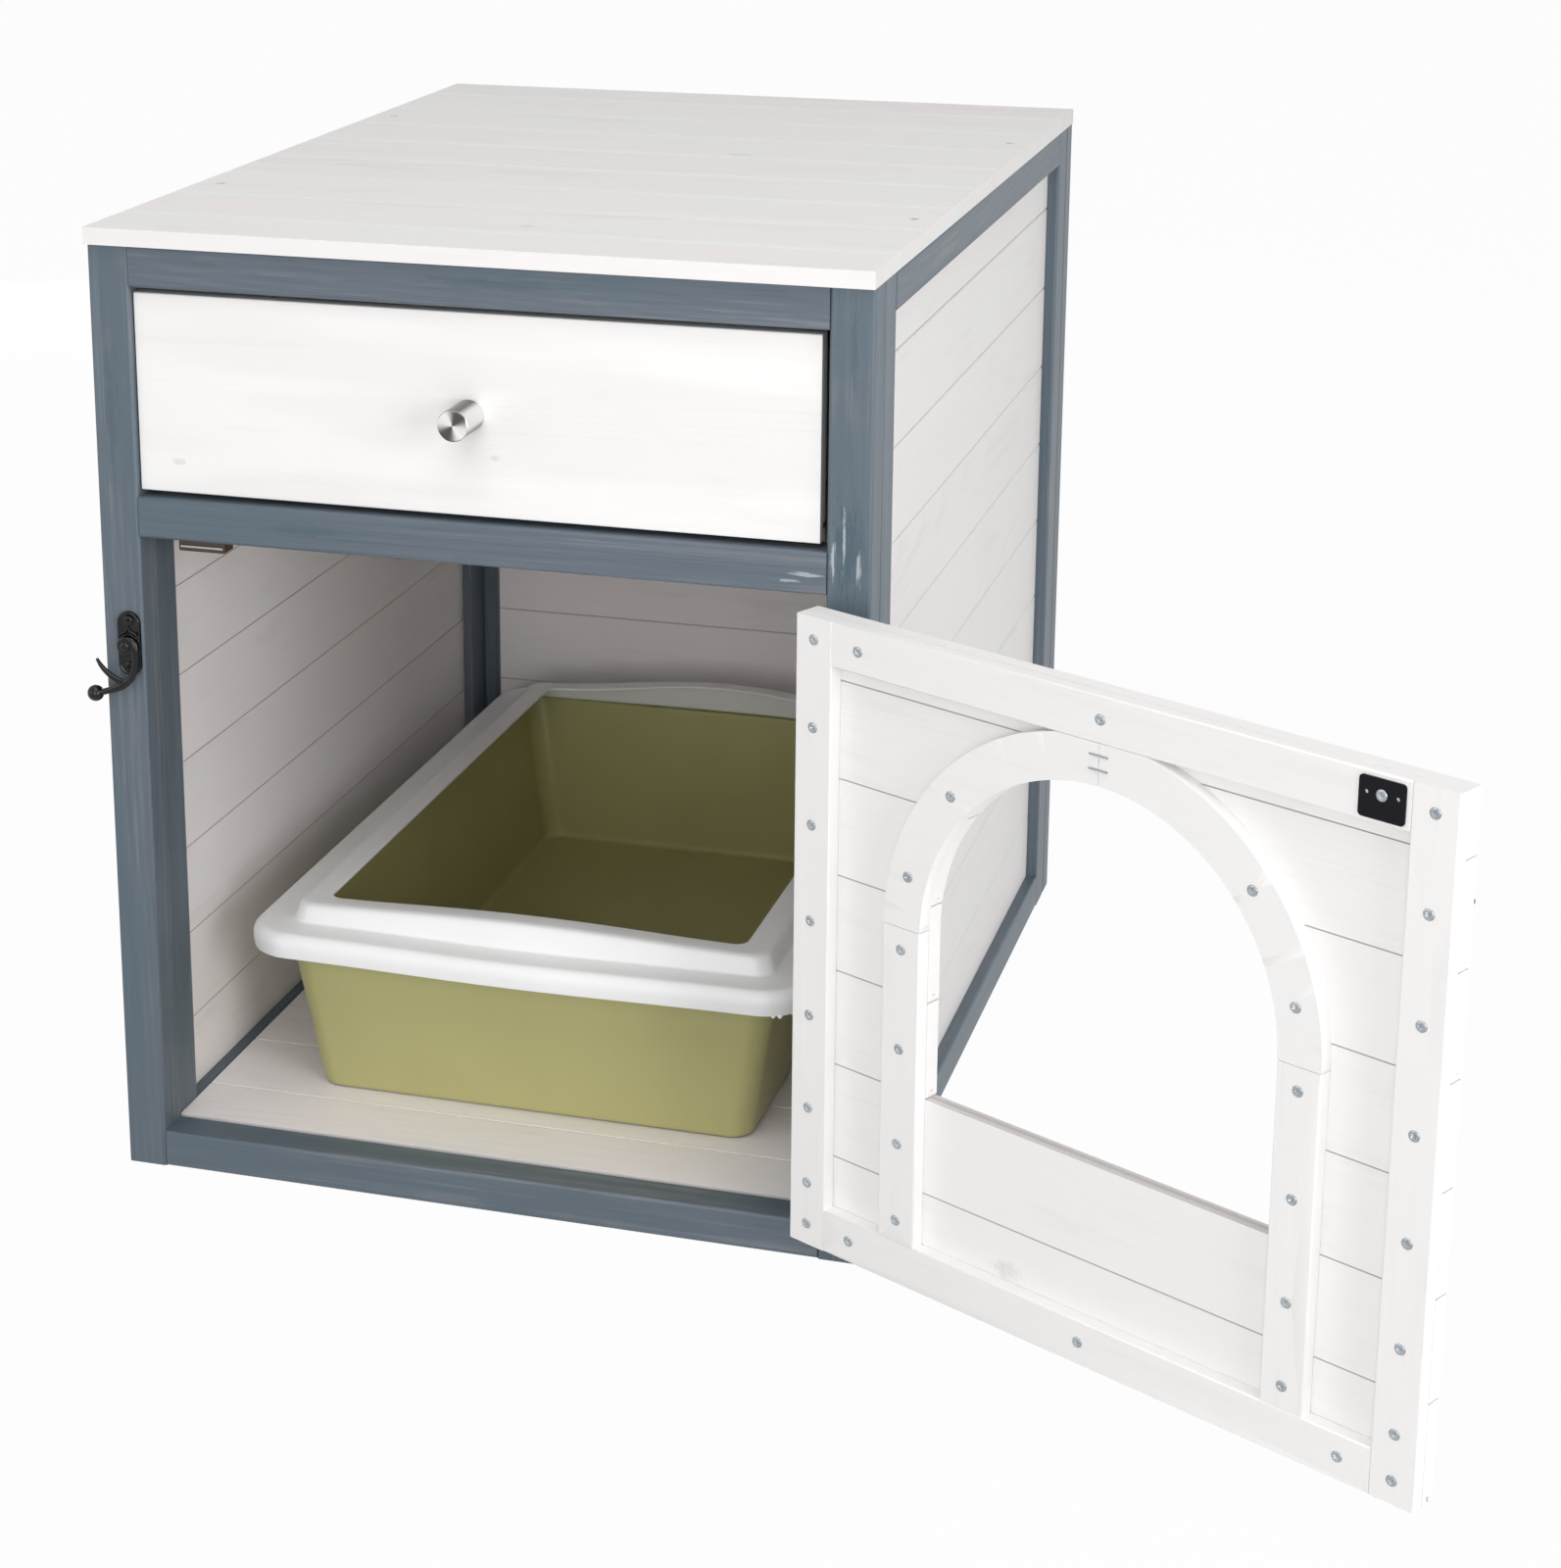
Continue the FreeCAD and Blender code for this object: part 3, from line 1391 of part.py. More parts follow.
def build_keeper():
    """Round-headed pin in the door's outer face, which the latch arm drops over."""
    reach = "(latch_stand_off + latch_arm_thick + latch_arm_play)"
    neck = rod(
        "keeper_neck",
        "y",
        (KEEPER_ACROSS, f"{FRONT} - {reach}", LATCH_UP),
        "keeper_neck_wide / 2",
        reach,
    )
    head = rod(
        "keeper_head",
        "y",
        (KEEPER_ACROSS, f"{FRONT} - {reach} - keeper_head_tall", LATCH_UP),
        "keeper_head_wide / 2",
        "keeper_head_tall",
    )
    foot = (KEEPER_ACROSS, FRONT, LATCH_UP)
    shank = rod("keeper_shank", "y", foot, "screw_neck_wide / 2", "keeper_bite")
    hang("latch_keeper", [fuse("keeper_solid", [neck, head, shank])])


# Litter tray: a drafted tub and a clip-on rim with a crowned collar


def rounded_ring(side_inset, end_inset, up, corner, crown_front=0, crown_rear=0):
    """Edges of a rounded rectangle inside the rim's outline. A crown lifts an end's middle."""
    half = worth(f"{INSIDE_HALF} - tray_side_gap") - side_inset
    near = worth(f"{FRONT} + tray_front_gap") + end_inset
    far = worth(f"{REAR_INSIDE} - tray_rear_gap") - end_inset
    left, right = -half, half
    slant = corner * (1 - math.sqrt(1 / 2))

    def at(across, along):
        return FreeCAD.Vector(across, along, up)

    def crowned(start, end, lift):
        middle = (start + end) / 2 + FreeCAD.Vector(0, 0, lift)
        return Part.Arc(start, middle, end) if lift else Part.LineSegment(start, end)

    edges = [
        crowned(at(left + corner, near), at(right - corner, near), crown_front),
        Part.Arc(at(right - corner, near), at(right - slant, near + slant), at(right, near + corner)),
        Part.LineSegment(at(right, near + corner), at(right, far - corner)),
        Part.Arc(at(right, far - corner), at(right - slant, far - slant), at(right - corner, far)),
        crowned(at(right - corner, far), at(left + corner, far), crown_rear),
        Part.Arc(at(left + corner, far), at(left + slant, far - slant), at(left, far - corner)),
        Part.LineSegment(at(left, far - corner), at(left, near + corner)),
        Part.Arc(at(left, near + corner), at(left + slant, near + slant), at(left + corner, near)),
    ]
    return [edge.toShape() for edge in edges]


def moulding(name, rings, ends_closed):
    """A solid whose walls run from each ring to the next. Rings close on the first, or end flat."""
    pairs = list(zip(rings, rings[1:]))
    if not ends_closed:
        pairs.append((rings[-1], rings[0]))
    faces = [Part.makeRuledSurface(a, b) for low, high in pairs for a, b in zip(low, high)]
    if ends_closed:
        faces += [Part.Face(Part.Wire(rings[0])), Part.Face(Part.Wire(rings[-1]))]
    shell = Part.makeShell(faces)
    shell.sewShape()
    solid = Part.makeSolid(shell)
    if solid.Volume < 0:
        solid.reverse()
    item = doc.addObject("Part::Feature", name)
    item.Shape = solid
    return item


def build_tub():
    wall, foot = size("tray_wall"), size("tray_foot_round")
    corner, lip_corner = size("tray_corner"), size("tray_lip_corner")
    side, end = size("tray_rim_inset"), size("tray_end_inset")
    foot_side, foot_end = side + size("tray_draft"), end + size("tray_end_draft")
    lip_side, lip_end = side - size("tray_lip_wide"), end - size("tray_lip_wide")
    bottom = size("floor_top") + size("tray_seat_gap")
    top = size("floor_top") + size("tray_rim_up")
    bend = foot / 4

    def foot_ring(inset, up):
        return rounded_ring(foot_side + inset, foot_end + inset, up, corner - inset)

    rings = [
        foot_ring(foot, bottom),
        foot_ring(bend, bottom + bend),
        foot_ring(0, bottom + foot),
        rounded_ring(side, end, top - wall, corner),
        rounded_ring(lip_side, lip_end, top - wall, lip_corner),
        rounded_ring(lip_side, lip_end, top, lip_corner),
        rounded_ring(side + wall, end + wall, top, corner - wall),
        foot_ring(wall, bottom + wall + foot),
        foot_ring(wall + foot, bottom + wall),
    ]
    keep(moulding("tray_tub", rings, True), "tray_tub")


def build_rim():
    """A bowed band hooks over the tub's lip, a deck steps in, and a crowned collar rises from it."""
    wall, gap = size("rim_wall"), size("tray_seat_gap")
    deck_under = size("floor_top") + size("tray_rim_up") + gap
    deck = deck_under + wall
    band, bow, shoulder = size("rim_band_tall"), size("rim_band_bow"), size("rim_shoulder")
    skirt = deck - band
    top = deck + size("rim_collar_tall")
    lean = size("rim_collar_lean")
    foot_side, foot_end = size("rim_deck_wide"), size("rim_deck_end_wide")
    inner_side = foot_side + lean + size("rim_collar_wide")
    inner_end = foot_end + lean + size("rim_collar_end_wide")

    def ring(side_inset, end_inset, up, crowned=False):
        """The corner radius shrinks evenly from the band to the collar's inside."""
        radius = size("rim_corner")
        radius += (size("rim_corner_inside") - radius) * side_inset / inner_side
        crowns = (size("rim_crown_front"), size("rim_crown_rear")) if crowned else (0, 0)
        return rounded_ring(side_inset, end_inset, up, radius, *crowns)

    def band_ring(inset, up):
        return ring(inset, inset, up)

    def collar_ring(inset, up, crowned=True):
        return ring(foot_side + inset, foot_end + inset, up, crowned)

    rings = [
        band_ring(bow, skirt),
        band_ring(0, skirt + band / 2),
        band_ring(bow, deck - shoulder),
        band_ring(bow + shoulder, deck),
        collar_ring(0, deck + wall / 2, False),
        collar_ring(lean, top - shoulder / 2),
        collar_ring(2 * lean, top),
        ring(inner_side, inner_end, top, True),
        ring(inner_side, inner_end, top - wall, True),
        collar_ring(2 * lean, top - wall),
        collar_ring(lean + wall, top - shoulder / 2 - wall / 2),
        collar_ring(wall, deck_under + wall / 2, False),
        band_ring(bow + shoulder + wall / 2, deck_under),
        band_ring(bow + wall, deck_under - shoulder),
        band_ring(wall, skirt + band / 2),
        band_ring(bow + wall, skirt),
    ]
    keep(moulding("tray_rim", rings, False), "tray_rim")


# Assembly, checks and files


def check_document():
    doc.recompute()
    for item in doc.Objects:
        if any(flag in ("Invalid", "Error") for flag in item.State):
            raise RuntimeError(f"{item.Label} failed: {item.State}")
    for node in NODES:
        if node.Shape.isNull() or not node.Shape.isValid():
            raise RuntimeError(f"{node.Label} has no valid shape")


def write_files():
    for node in NODES:
        node.Shape.exportStep(f"parts/{node.Label}.step")
        print(f"{node.Label}: {len(node.Shape.Solids)} solids, {node.Shape.Volume / 1000:.1f} cm3")


build_front_frame()
build_side_panel("left", "-1")
build_side_panel("right", "1")
build_rear_panel()
build_floor()
build_shelf()
build_top()
build_drawer()
build_door()
build_strike()
build_hinges()
build_catch()
build_latch()
build_tub()
build_rim()
check_document()
write_files()
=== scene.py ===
import math

import bmesh
import bpy
from mathutils import Matrix, Vector


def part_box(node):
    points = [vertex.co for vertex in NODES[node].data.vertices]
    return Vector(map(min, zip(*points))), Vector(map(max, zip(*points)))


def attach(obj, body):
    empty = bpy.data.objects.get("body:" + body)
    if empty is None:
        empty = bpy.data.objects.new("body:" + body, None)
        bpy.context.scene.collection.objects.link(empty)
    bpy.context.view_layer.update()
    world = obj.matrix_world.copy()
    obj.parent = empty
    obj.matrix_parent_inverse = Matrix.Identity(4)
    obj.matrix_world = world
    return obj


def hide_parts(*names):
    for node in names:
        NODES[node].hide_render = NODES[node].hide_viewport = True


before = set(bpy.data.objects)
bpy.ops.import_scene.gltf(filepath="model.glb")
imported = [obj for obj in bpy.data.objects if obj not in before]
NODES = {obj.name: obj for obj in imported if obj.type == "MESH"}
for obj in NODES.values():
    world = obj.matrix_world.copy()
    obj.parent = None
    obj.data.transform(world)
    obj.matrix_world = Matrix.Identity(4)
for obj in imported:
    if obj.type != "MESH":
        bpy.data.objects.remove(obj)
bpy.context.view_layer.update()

X, Y, Z = 0, 1, 2

# The door stands open at rest. Its wood is laid out as if it were shut.
PIVOT = Vector((0.26515, -0.4054, 0))
SWING = math.radians(-152.7)
SHUT = Matrix.Rotation(SWING, 4, "Z")
DOOR_INWARD = SHUT.inverted() @ Vector((0, 1, 0))
SHUT_SHIFT = PIVOT - SHUT @ PIVOT


# Camera and lamps

CAMERA_PLACE = Vector((0.78869, -2.55208, 1.19027))
YAW, PITCH, ROLL = 0.2921, -0.2670, -0.0007
FOCAL, CENTRE = 3312.6, (670, 520)  # pixels
WIDE, TALL = 1593, 1600
SENSOR = 36


def add(name, data):
    obj = bpy.data.objects.new(name, data)
    bpy.context.scene.collection.objects.link(obj)
    return obj


def build_camera():
    look = Vector((-math.sin(YAW) * math.cos(PITCH), math.cos(YAW) * math.cos(PITCH), math.sin(PITCH)))
    right = look.cross(Vector((0, 0, 1))).normalized()
    up = right.cross(look)
    side = math.cos(ROLL) * right + math.sin(ROLL) * up
    head = math.cos(ROLL) * up - math.sin(ROLL) * right
    data = bpy.data.cameras.new("camera")
    data.sensor_width = SENSOR
    data.lens = SENSOR * FOCAL / TALL
    data.shift_x = (WIDE / 2 - CENTRE[0]) / TALL
    data.shift_y = (CENTRE[1] - TALL / 2) / TALL
    data.clip_end = 50
    camera = add("camera", data)
    turn = Matrix((side, head, -look)).transposed().to_4x4()
    camera.matrix_world = Matrix.Translation(CAMERA_PLACE) @ turn
    bpy.context.scene.camera = camera


def area_light(name, place, target, wide, tall, power):
    """A soft box of so many watts, turned to face its target."""
    data = bpy.data.lights.new(name, "AREA")
    data.shape = "RECTANGLE"
    data.size, data.size_y = wide, tall
    data.energy = power
    light = add(name, data)
    light.location = place
    light.rotation_euler = (Vector(target) - Vector(place)).to_track_quat("-Z", "Y").to_euler()


class Paint:
    """A material being written. Each call adds nodes and gives one of their outputs."""

    def __init__(self, name):
        self.material = bpy.data.materials.new(name)
        self.material.use_nodes = True
        self.tree = self.material.node_tree
        self.tree.nodes.clear()

    def add(self, kind, inputs=None, out=0, **settings):
        node = self.tree.nodes.new("ShaderNode" + kind)
        for key, value in settings.items():
            setattr(node, key, value)
        for key, value in (inputs or {}).items():
            if isinstance(value, bpy.types.NodeSocket):
                self.tree.links.new(value, node.inputs[key])
            else:
                node.inputs[key].default_value = value
        return node.outputs[out] if node.outputs else None

    def math(self, operation, *values):
        return self.add("Math", dict(enumerate(values)), operation=operation)

    def vector(self, operation, *values, out=0):
        return self.add("VectorMath", dict(enumerate(values)), out, operation=operation)

    def times(self, a, b):
        return self.math("MULTIPLY", a, b)

    def plus(self, *values):
        total = values[0]
        for value in values[1:]:
            total = self.math("ADD", total, value)
        return total

    def swing(self, value, amount):
        """The value's departure from a half, times the amount."""
        return self.math("MULTIPLY_ADD", value, amount, -amount / 2)

    def fit(self, value, low, high, to_low=0.0, to_high=1.0):
        inputs = dict(enumerate((value, low, high, to_low, to_high)))
        return self.add("MapRange", inputs, clamp=True, interpolation_type="SMOOTHSTEP")

    def split(self, value):
        node = self.add("SeparateXYZ", {0: value}).node
        return list(node.outputs)

    def join(self, *values):
        return self.add("CombineXYZ", dict(enumerate(values)))

    def noise(self, place, scale, detail=2.0, roughness=0.5, out=0):
        inputs = {"Vector": place, "Scale": scale, "Detail": detail, "Roughness": roughness}
        return self.add("TexNoise", inputs, out)

    def mix(self, factor, a, b):
        return self.add("Mix", {0: factor, 6: a, 7: b}, 2, data_type="RGBA")

    def ramp(self, value, stops):
        node = self.add("ValToRGB", {0: value}).node
        node.color_ramp.interpolation = "EASE"
        while len(node.color_ramp.elements) < len(stops):
            node.color_ramp.elements.new(0.5)
        for element, (place, colour) in zip(node.color_ramp.elements, stops):
            element.position, element.color = place, (*colour, 1)
        return node.outputs[0]

    def bump(self, height, distance, strength=1.0):
        inputs = {"Height": height, "Distance": distance, "Strength": strength}
        return self.add("Bump", inputs)

    def finish(self, colour, roughness, normal=None, **fixed):
        inputs = {"Base Color": colour, "Roughness": roughness}
        for key, value in fixed.items():
            inputs[key.replace("_", " ").title().replace("Ior", "IOR")] = value
        if normal is not None:
            inputs["Normal"] = normal
        shader = self.add("BsdfPrincipled", inputs)
        self.add("OutputMaterial", {0: shader})
        return self.material


def grey(level):
    return (level, level, level)


# Wood

# Each look gives three colours, from the darkest streak to the palest, a second tint that
# drifts in over broad areas, and how far each kind of figure moves the shade.
WHITEWASH = {
    "shades": ((0.56, 0.49, 0.465), (0.815, 0.780, 0.778), (0.875, 0.868, 0.868)),
    "drift": ((0.800, 0.802, 0.790), 0.75), "worn": ((0.66, 0.60, 0.57), 0.20),
    "rings": 0.075, "streaks": 0.120, "fibres": 0.100, "blotches": 0.130, "board": 0.11,
    "rough": 0.50, "relief": 0.00010,
}
PAINTED = {
    "shades": ((0.63, 0.56, 0.53), (0.890, 0.872, 0.864), (0.935, 0.932, 0.928)),
    "drift": ((0.880, 0.876, 0.866), 0.6), "worn": ((0.74, 0.69, 0.655), 0.16),
    "rings": 0.065, "streaks": 0.105, "fibres": 0.095, "blotches": 0.095, "board": 0.08,
    "rough": 0.48, "relief": 0.00010,
}
# A paler, pinker copy of the whitewash for boards seen inside the cabinet: painted light that lifts the
# interior's shade, with a warm painted bounce tint.
INSIDE_PAINTED_LIGHT = {
    **WHITEWASH, "shades": ((0.64, 0.55, 0.53), (0.900, 0.852, 0.852), (0.94, 0.925, 0.925)),
    "drift": ((0.872, 0.848, 0.846), 0.6),
}
# A darker copy of the painted look for the drawer front: painted shade that holds it down under the front
# lamps.
DRAWER_PAINTED_SHADE = {**PAINTED, "shades": ((0.60, 0.55, 0.52), (0.815, 0.800, 0.792), (0.87, 0.865, 0.86))}
STAINED = {
    "shades": ((0.042, 0.058, 0.077), (0.104, 0.129, 0.158), (0.22, 0.25, 0.28)),
    "drift": ((0.080, 0.118, 0.146), 0.55), "worn": ((0.20, 0.198, 0.206), 0.45),
    "rings": 0.10, "streaks": 0.29, "fibres": 0.30, "blotches": 0.15, "board": 0.0,
    "rough": 0.46, "relief": 0.00016,
}
BARE = {
    "shades": ((0.45, 0.26, 0.12), (0.70, 0.50, 0.30), (0.80, 0.63, 0.43)),
    "drift": ((0.72, 0.55, 0.36), 0.5), "worn": ((0.60, 0.42, 0.25), 0.2),
    "rings": 0.40, "streaks": 0.16, "fibres": 0.12, "blotches": 0.12, "board": 0.10,
    "rough": 0.60, "relief": 0.00016,
}
RING_BANDS = 34.0  # growth rings in one step of the noise that lays them out
KNOT_REACH = 7.0  # radii of a knot over which it bends the rings
SEAM = 0.0008  # the dark line between boards, to each side of the joint
PALE_SEAM = 0.0095  # the wash that gathered along the joints of the top
PALE_WANDER = 0.012
PALE_WASH = (0.835, 0.865, 0.845, 1)


def wood(name, look, grain, boards=None, door=False, seed=0.0, knots=(), stains=(), pale_seams=False):
    """Planed softwood, whose grain runs along the given axis. boards is (axis, first seam,
    pitch). A knot is (place, radius), and a stain is (place, radius along the grain, radius
    across it, colour, strength)."""
    p = Paint(name)
    place = p.add("TexCoord", out="Object")
    if door:
        shut = {"Vector": place, "Location": SHUT_SHIFT, "Rotation": (0, 0, SWING)}
        place = p.add("Mapping", shut)
    axes = p.split(place)
    along = axes[grain]
    across = [axes[i] for i in (X, Y, Z) if i != grain]
    if boards:
        axis, first, pitch = boards
        count = p.math("DIVIDE", p.math("SUBTRACT", axes[axis], first), pitch)
        index = p.math("FLOOR", count)
        lot = p.add("TexWhiteNoise", {"W": p.math("ADD", index, seed)}, 1, noise_dimensions="1D")
        chance = p.split(lot)
        along = p.plus(along, p.times(chance[0], 5.0))
        across = [p.plus(part, p.times(luck, 1.7)) for part, luck in zip(across, chance[1:])]
        edge = p.times(p.math("PINGPONG", count, 0.5), pitch)

    def stretched(long, wide):
        return p.join(
            p.plus(p.times(along, long), seed * 3.17),
            p.plus(p.times(across[0], wide), seed),
            p.plus(p.times(across[1], wide), seed * 0.7),
        )

    # Knots push the growth rings aside and darken towards their middle
    bend, dark = None, None
    longer = [1.0, 1.0, 1.0]
    longer[grain] = 0.55
    for spot, radius in knots:
        away = p.vector("MULTIPLY", p.vector("SUBTRACT", place, spot), longer)
        far = p.vector("LENGTH", away, out=1)
        far = p.plus(far, p.swing(p.noise(place, 190, 3, 0.6), radius * 1.2))
        push = p.fit(far, 0.0, radius * KNOT_REACH, 0.09, 0.0)
        core = p.fit(far, radius * 0.3, radius * 1.35, 1.0, 0.0)
        bend = push if bend is None else p.plus(bend, push)
        dark = core if dark is None else p.math("MAXIMUM", dark, core)

    field = p.noise(stretched(0.7, 8.0), 1.0, 1.0, 0.4)
    if bend is not None:
        field = p.plus(field, bend)
    growth = p.math("FRACT", p.times(field, RING_BANDS))
    late = p.times(p.fit(growth, 0.25, 0.86), p.fit(growth, 0.90, 1.0, 1.0, 0.0))
    streak = p.noise(stretched(1.5, 130.0), 1.0, 4.0, 0.65)
    fibre = p.noise(stretched(16.0, 1100.0), 1.0, 2.0, 0.6)
    blotch = p.noise(stretched(2.5, 9.0), 1.0, 2.0, 0.55)
    shade = p.plus(
        0.50,
        p.swing(late, -look["rings"]),
        p.swing(streak, look["streaks"] * 2.6),
        p.swing(fibre, look["fibres"] * 2.2),
        p.swing(blotch, look["blotches"] * 2.4),
    )
    if boards:
        shade = p.plus(shade, p.swing(chance[2], look["board"]))
    low, mid, high = look["shades"]
    colour = p.ramp(shade, ((0.0, low), (0.5, mid), (1.0, high)))
    drift, most = look["drift"]
    sweep = p.fit(p.noise(stretched(2.0, 16.0), 1.3, 2.0), 0.42, 0.60, 0.0, most)
    colour = p.mix(sweep, colour, (*drift, 1))
    tone, most = look["worn"]
    rubbed = p.plus(p.times(p.noise(stretched(9.0, 30.0), 1.0, 3.0, 0.6), 0.55), p.times(streak, 0.45))
    colour = p.mix(p.fit(rubbed, 0.54, 0.66, 0.0, most), colour, (*tone, 1))
    if dark is not None:
        cool = [0.62 * v for v in mid]
        warm = [0.84 * v for v in mid]
        tone = p.ramp(p.noise(place, 420, 3), ((0.3, cool), (0.7, warm)))
        colour = p.mix(p.times(dark, 0.55), colour, tone)
    for spot, long, wide, tint, strength in stains:
        reach = [1 / wide] * 3
        reach[grain] = 1 / long
        far = p.vector("LENGTH", p.vector("MULTIPLY", p.vector("SUBTRACT", place, spot), reach), out=1)
        ragged = p.plus(far, p.swing(p.noise(stretched(60.0, 700.0), 1.0, 4, 0.75), 4.4))
        colour = p.mix(p.fit(ragged, 0.50, 1.05, strength, 0.0), colour, (*tint, 1))
    if boards and pale_seams:
        wander = p.plus(edge, p.swing(p.noise(stretched(6.0, 1.0), 1.0, 3), PALE_WANDER))
        colour = p.mix(p.fit(wander, 0.0, PALE_SEAM, 0.75, 0.0), colour, PALE_WASH)
    if boards:
        gap = 0.35 if pale_seams else 0.55
        line = p.fit(edge, 0.15 * SEAM, 1.1 * SEAM, gap, 0.0)
        colour = p.mix(line, colour, (0.20 * mid[0], 0.15 * mid[1], 0.14 * mid[2], 1))
    rough = p.plus(look["rough"], p.swing(fibre, 0.22), p.swing(blotch, 0.12))
    height = p.plus(p.times(fibre, 0.7), p.times(streak, 0.5), p.times(late, 0.25))
    return p.finish(colour, rough, p.bump(height, look["relief"]), specular_ior_level=0.42)


# Metal and plastic


def metal(name, colour, rough, worn=0.10, grain=900.0, relief=0.00002, metallic=1.0, **fixed):
    """Plated or enamelled metal, a little uneven in tone and shine."""
    p = Paint(name)
    place = p.add("TexCoord", out="Object")
    fine = p.noise(place, grain, 3, 0.6)
    broad = p.noise(place, grain / 14, 2)
    dull = [v * (1 - 2 * worn) for v in colour]
    bright = [min(1.0, v * (1 + worn)) for v in colour]
    tone = p.ramp(p.plus(p.times(fine, 0.5), p.times(broad, 0.5)), ((0.25, dull), (0.75, bright)))
    roughness = p.plus(rough, p.swing(broad, rough * 0.7), p.swing(fine, rough * 0.4))
    return p.finish(tone, roughness, p.bump(fine, relief), metallic=metallic, **fixed)


KNOB_FACE = (-0.0173, -0.0169)  # the knob's front and the start of its side, along y


def turned_steel_painted_reflections(name, centre):
    """Bright steel, brushed round the knob's own axis, which runs along y. Its base colour holds
    painted reflections: four light and dark wedges on the face and stripes along the side."""
    p = Paint(name)
    place = p.vector("SUBTRACT", p.add("TexCoord", out="Object"), centre)
    x, y, z = p.split(place)
    radius = p.math("SQRT", p.plus(p.times(x, x), p.times(z, z)))
    lines = p.noise(p.join(p.times(radius, 5200.0), p.times(y, 900.0), 0.0), 1.0, 3, 0.7)
    angle = p.math("ARCTAN2", z, x)
    # Painted reflections: the base colour swings light and dark in four wedges round the face and in
    # stripes along the side, at fixed angles round the knob.
    painted_reflection_fans = p.swing(p.math("SINE", p.math("MULTIPLY_ADD", angle, -2.0, 0.35)), 1.0)
    painted_reflection_fans = p.plus(0.5, p.times(painted_reflection_fans, 0.5), p.swing(lines, 0.35), 0.25)
    face = p.fit(y, *KNOB_FACE, 1.0, 0.0)
    painted_reflection_bands = p.swing(p.math("SINE", p.math("MULTIPLY_ADD", angle, 2.0, 0.9)), 0.9)
    painted_reflection_bands = p.plus(0.75, painted_reflection_bands, p.swing(lines, 0.2))
    level = p.plus(p.times(face, painted_reflection_fans), p.times(p.math("SUBTRACT", 1.0, face), painted_reflection_bands))
    tone = p.ramp(level, ((0.05, (0.10, 0.095, 0.09)), (0.95, (0.80, 0.79, 0.78))))
    tangent = p.add("Tangent", direction_type="RADIAL", axis="Y")
    normal = p.bump(lines, 0.000012)
    rough = p.plus(0.22, p.swing(lines, 0.16))
    return p.finish(tone, rough, normal, metallic=1.0, anisotropic=0.7, tangent=tangent)


def plastic(name, colour, rough, spread=0.03, relief=0.00002, **fixed):
    """Moulded plastic: a fine pebble, a slow drift of tone, and faint haze and scratches."""
    p = Paint(name)
    place = p.add("TexCoord", out="Object")
    pebble = p.noise(place, 1500, 2, 0.5)
    flow = p.noise(place, 9, 2, 0.5)
    haze = p.noise(place, 46, 3, 0.6)
    pale = [min(1.0, v * (1 + spread)) for v in colour]
    tone = p.ramp(flow, ((0.3, [v * (1 - spread) for v in colour]), (0.7, pale)))
    scratch = p.noise(p.vector("MULTIPLY", place, (160.0, 40.0, 900.0)), 1.0, 2, 0.6)
    roughness = p.plus(rough, p.swing(haze, rough * 0.18), p.swing(scratch, rough * 0.10))
    return p.finish(tone, roughness, p.bump(p.plus(pebble, p.times(flow, 5.0)), relief), **fixed)


# Meshes


def mesh_piece(name, points, faces, material, body, *stands_for):
    """A smooth-shaded piece that rides on a body, in place of the nodes that it stands for."""
    data = bpy.data.meshes.new(name)
    data.from_pydata([tuple(point) for point in points], [], faces)
    data.validate()
    data.materials.append(material)
    data.shade_smooth()
    piece = add(name, data)
    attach(piece, body)
    if stands_for:
        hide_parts(*stands_for)
    return piece


def islands(node):
    """The separate solids of a CAD node in the mesh's order, each as its list of corners."""
    mesh = NODES[node].data
    work = bmesh.new()
    work.from_mesh(mesh)
    bmesh.ops.remove_doubles(work, verts=work.verts, dist=1e-6)
    work.verts.ensure_lookup_table()
    seen, found = set(), []
    for start in work.verts:
        if start in seen:
            continue
        seen.add(start)
        group, edge = [start], [start]
        while edge:
            for link in edge.pop().link_edges:
                for vert in link.verts:
                    if vert not in seen:
                        seen.add(vert)
                        group.append(vert)
                        edge.append(vert)
        found.append([vert.co.copy() for vert in group])
    work.free()
    return found


# A Phillips screw head on the plane z = 0: a low dome with a cross-shaped recess. Its sizes
# are shares of its radius.
HEAD_STEPS = 40
HEAD_RADIUS = 0.0040
CROSS_LONG, CROSS_WIDE, CROSS_DEEP = 0.56, 0.15, 0.34
DOME_TOP = 0.14


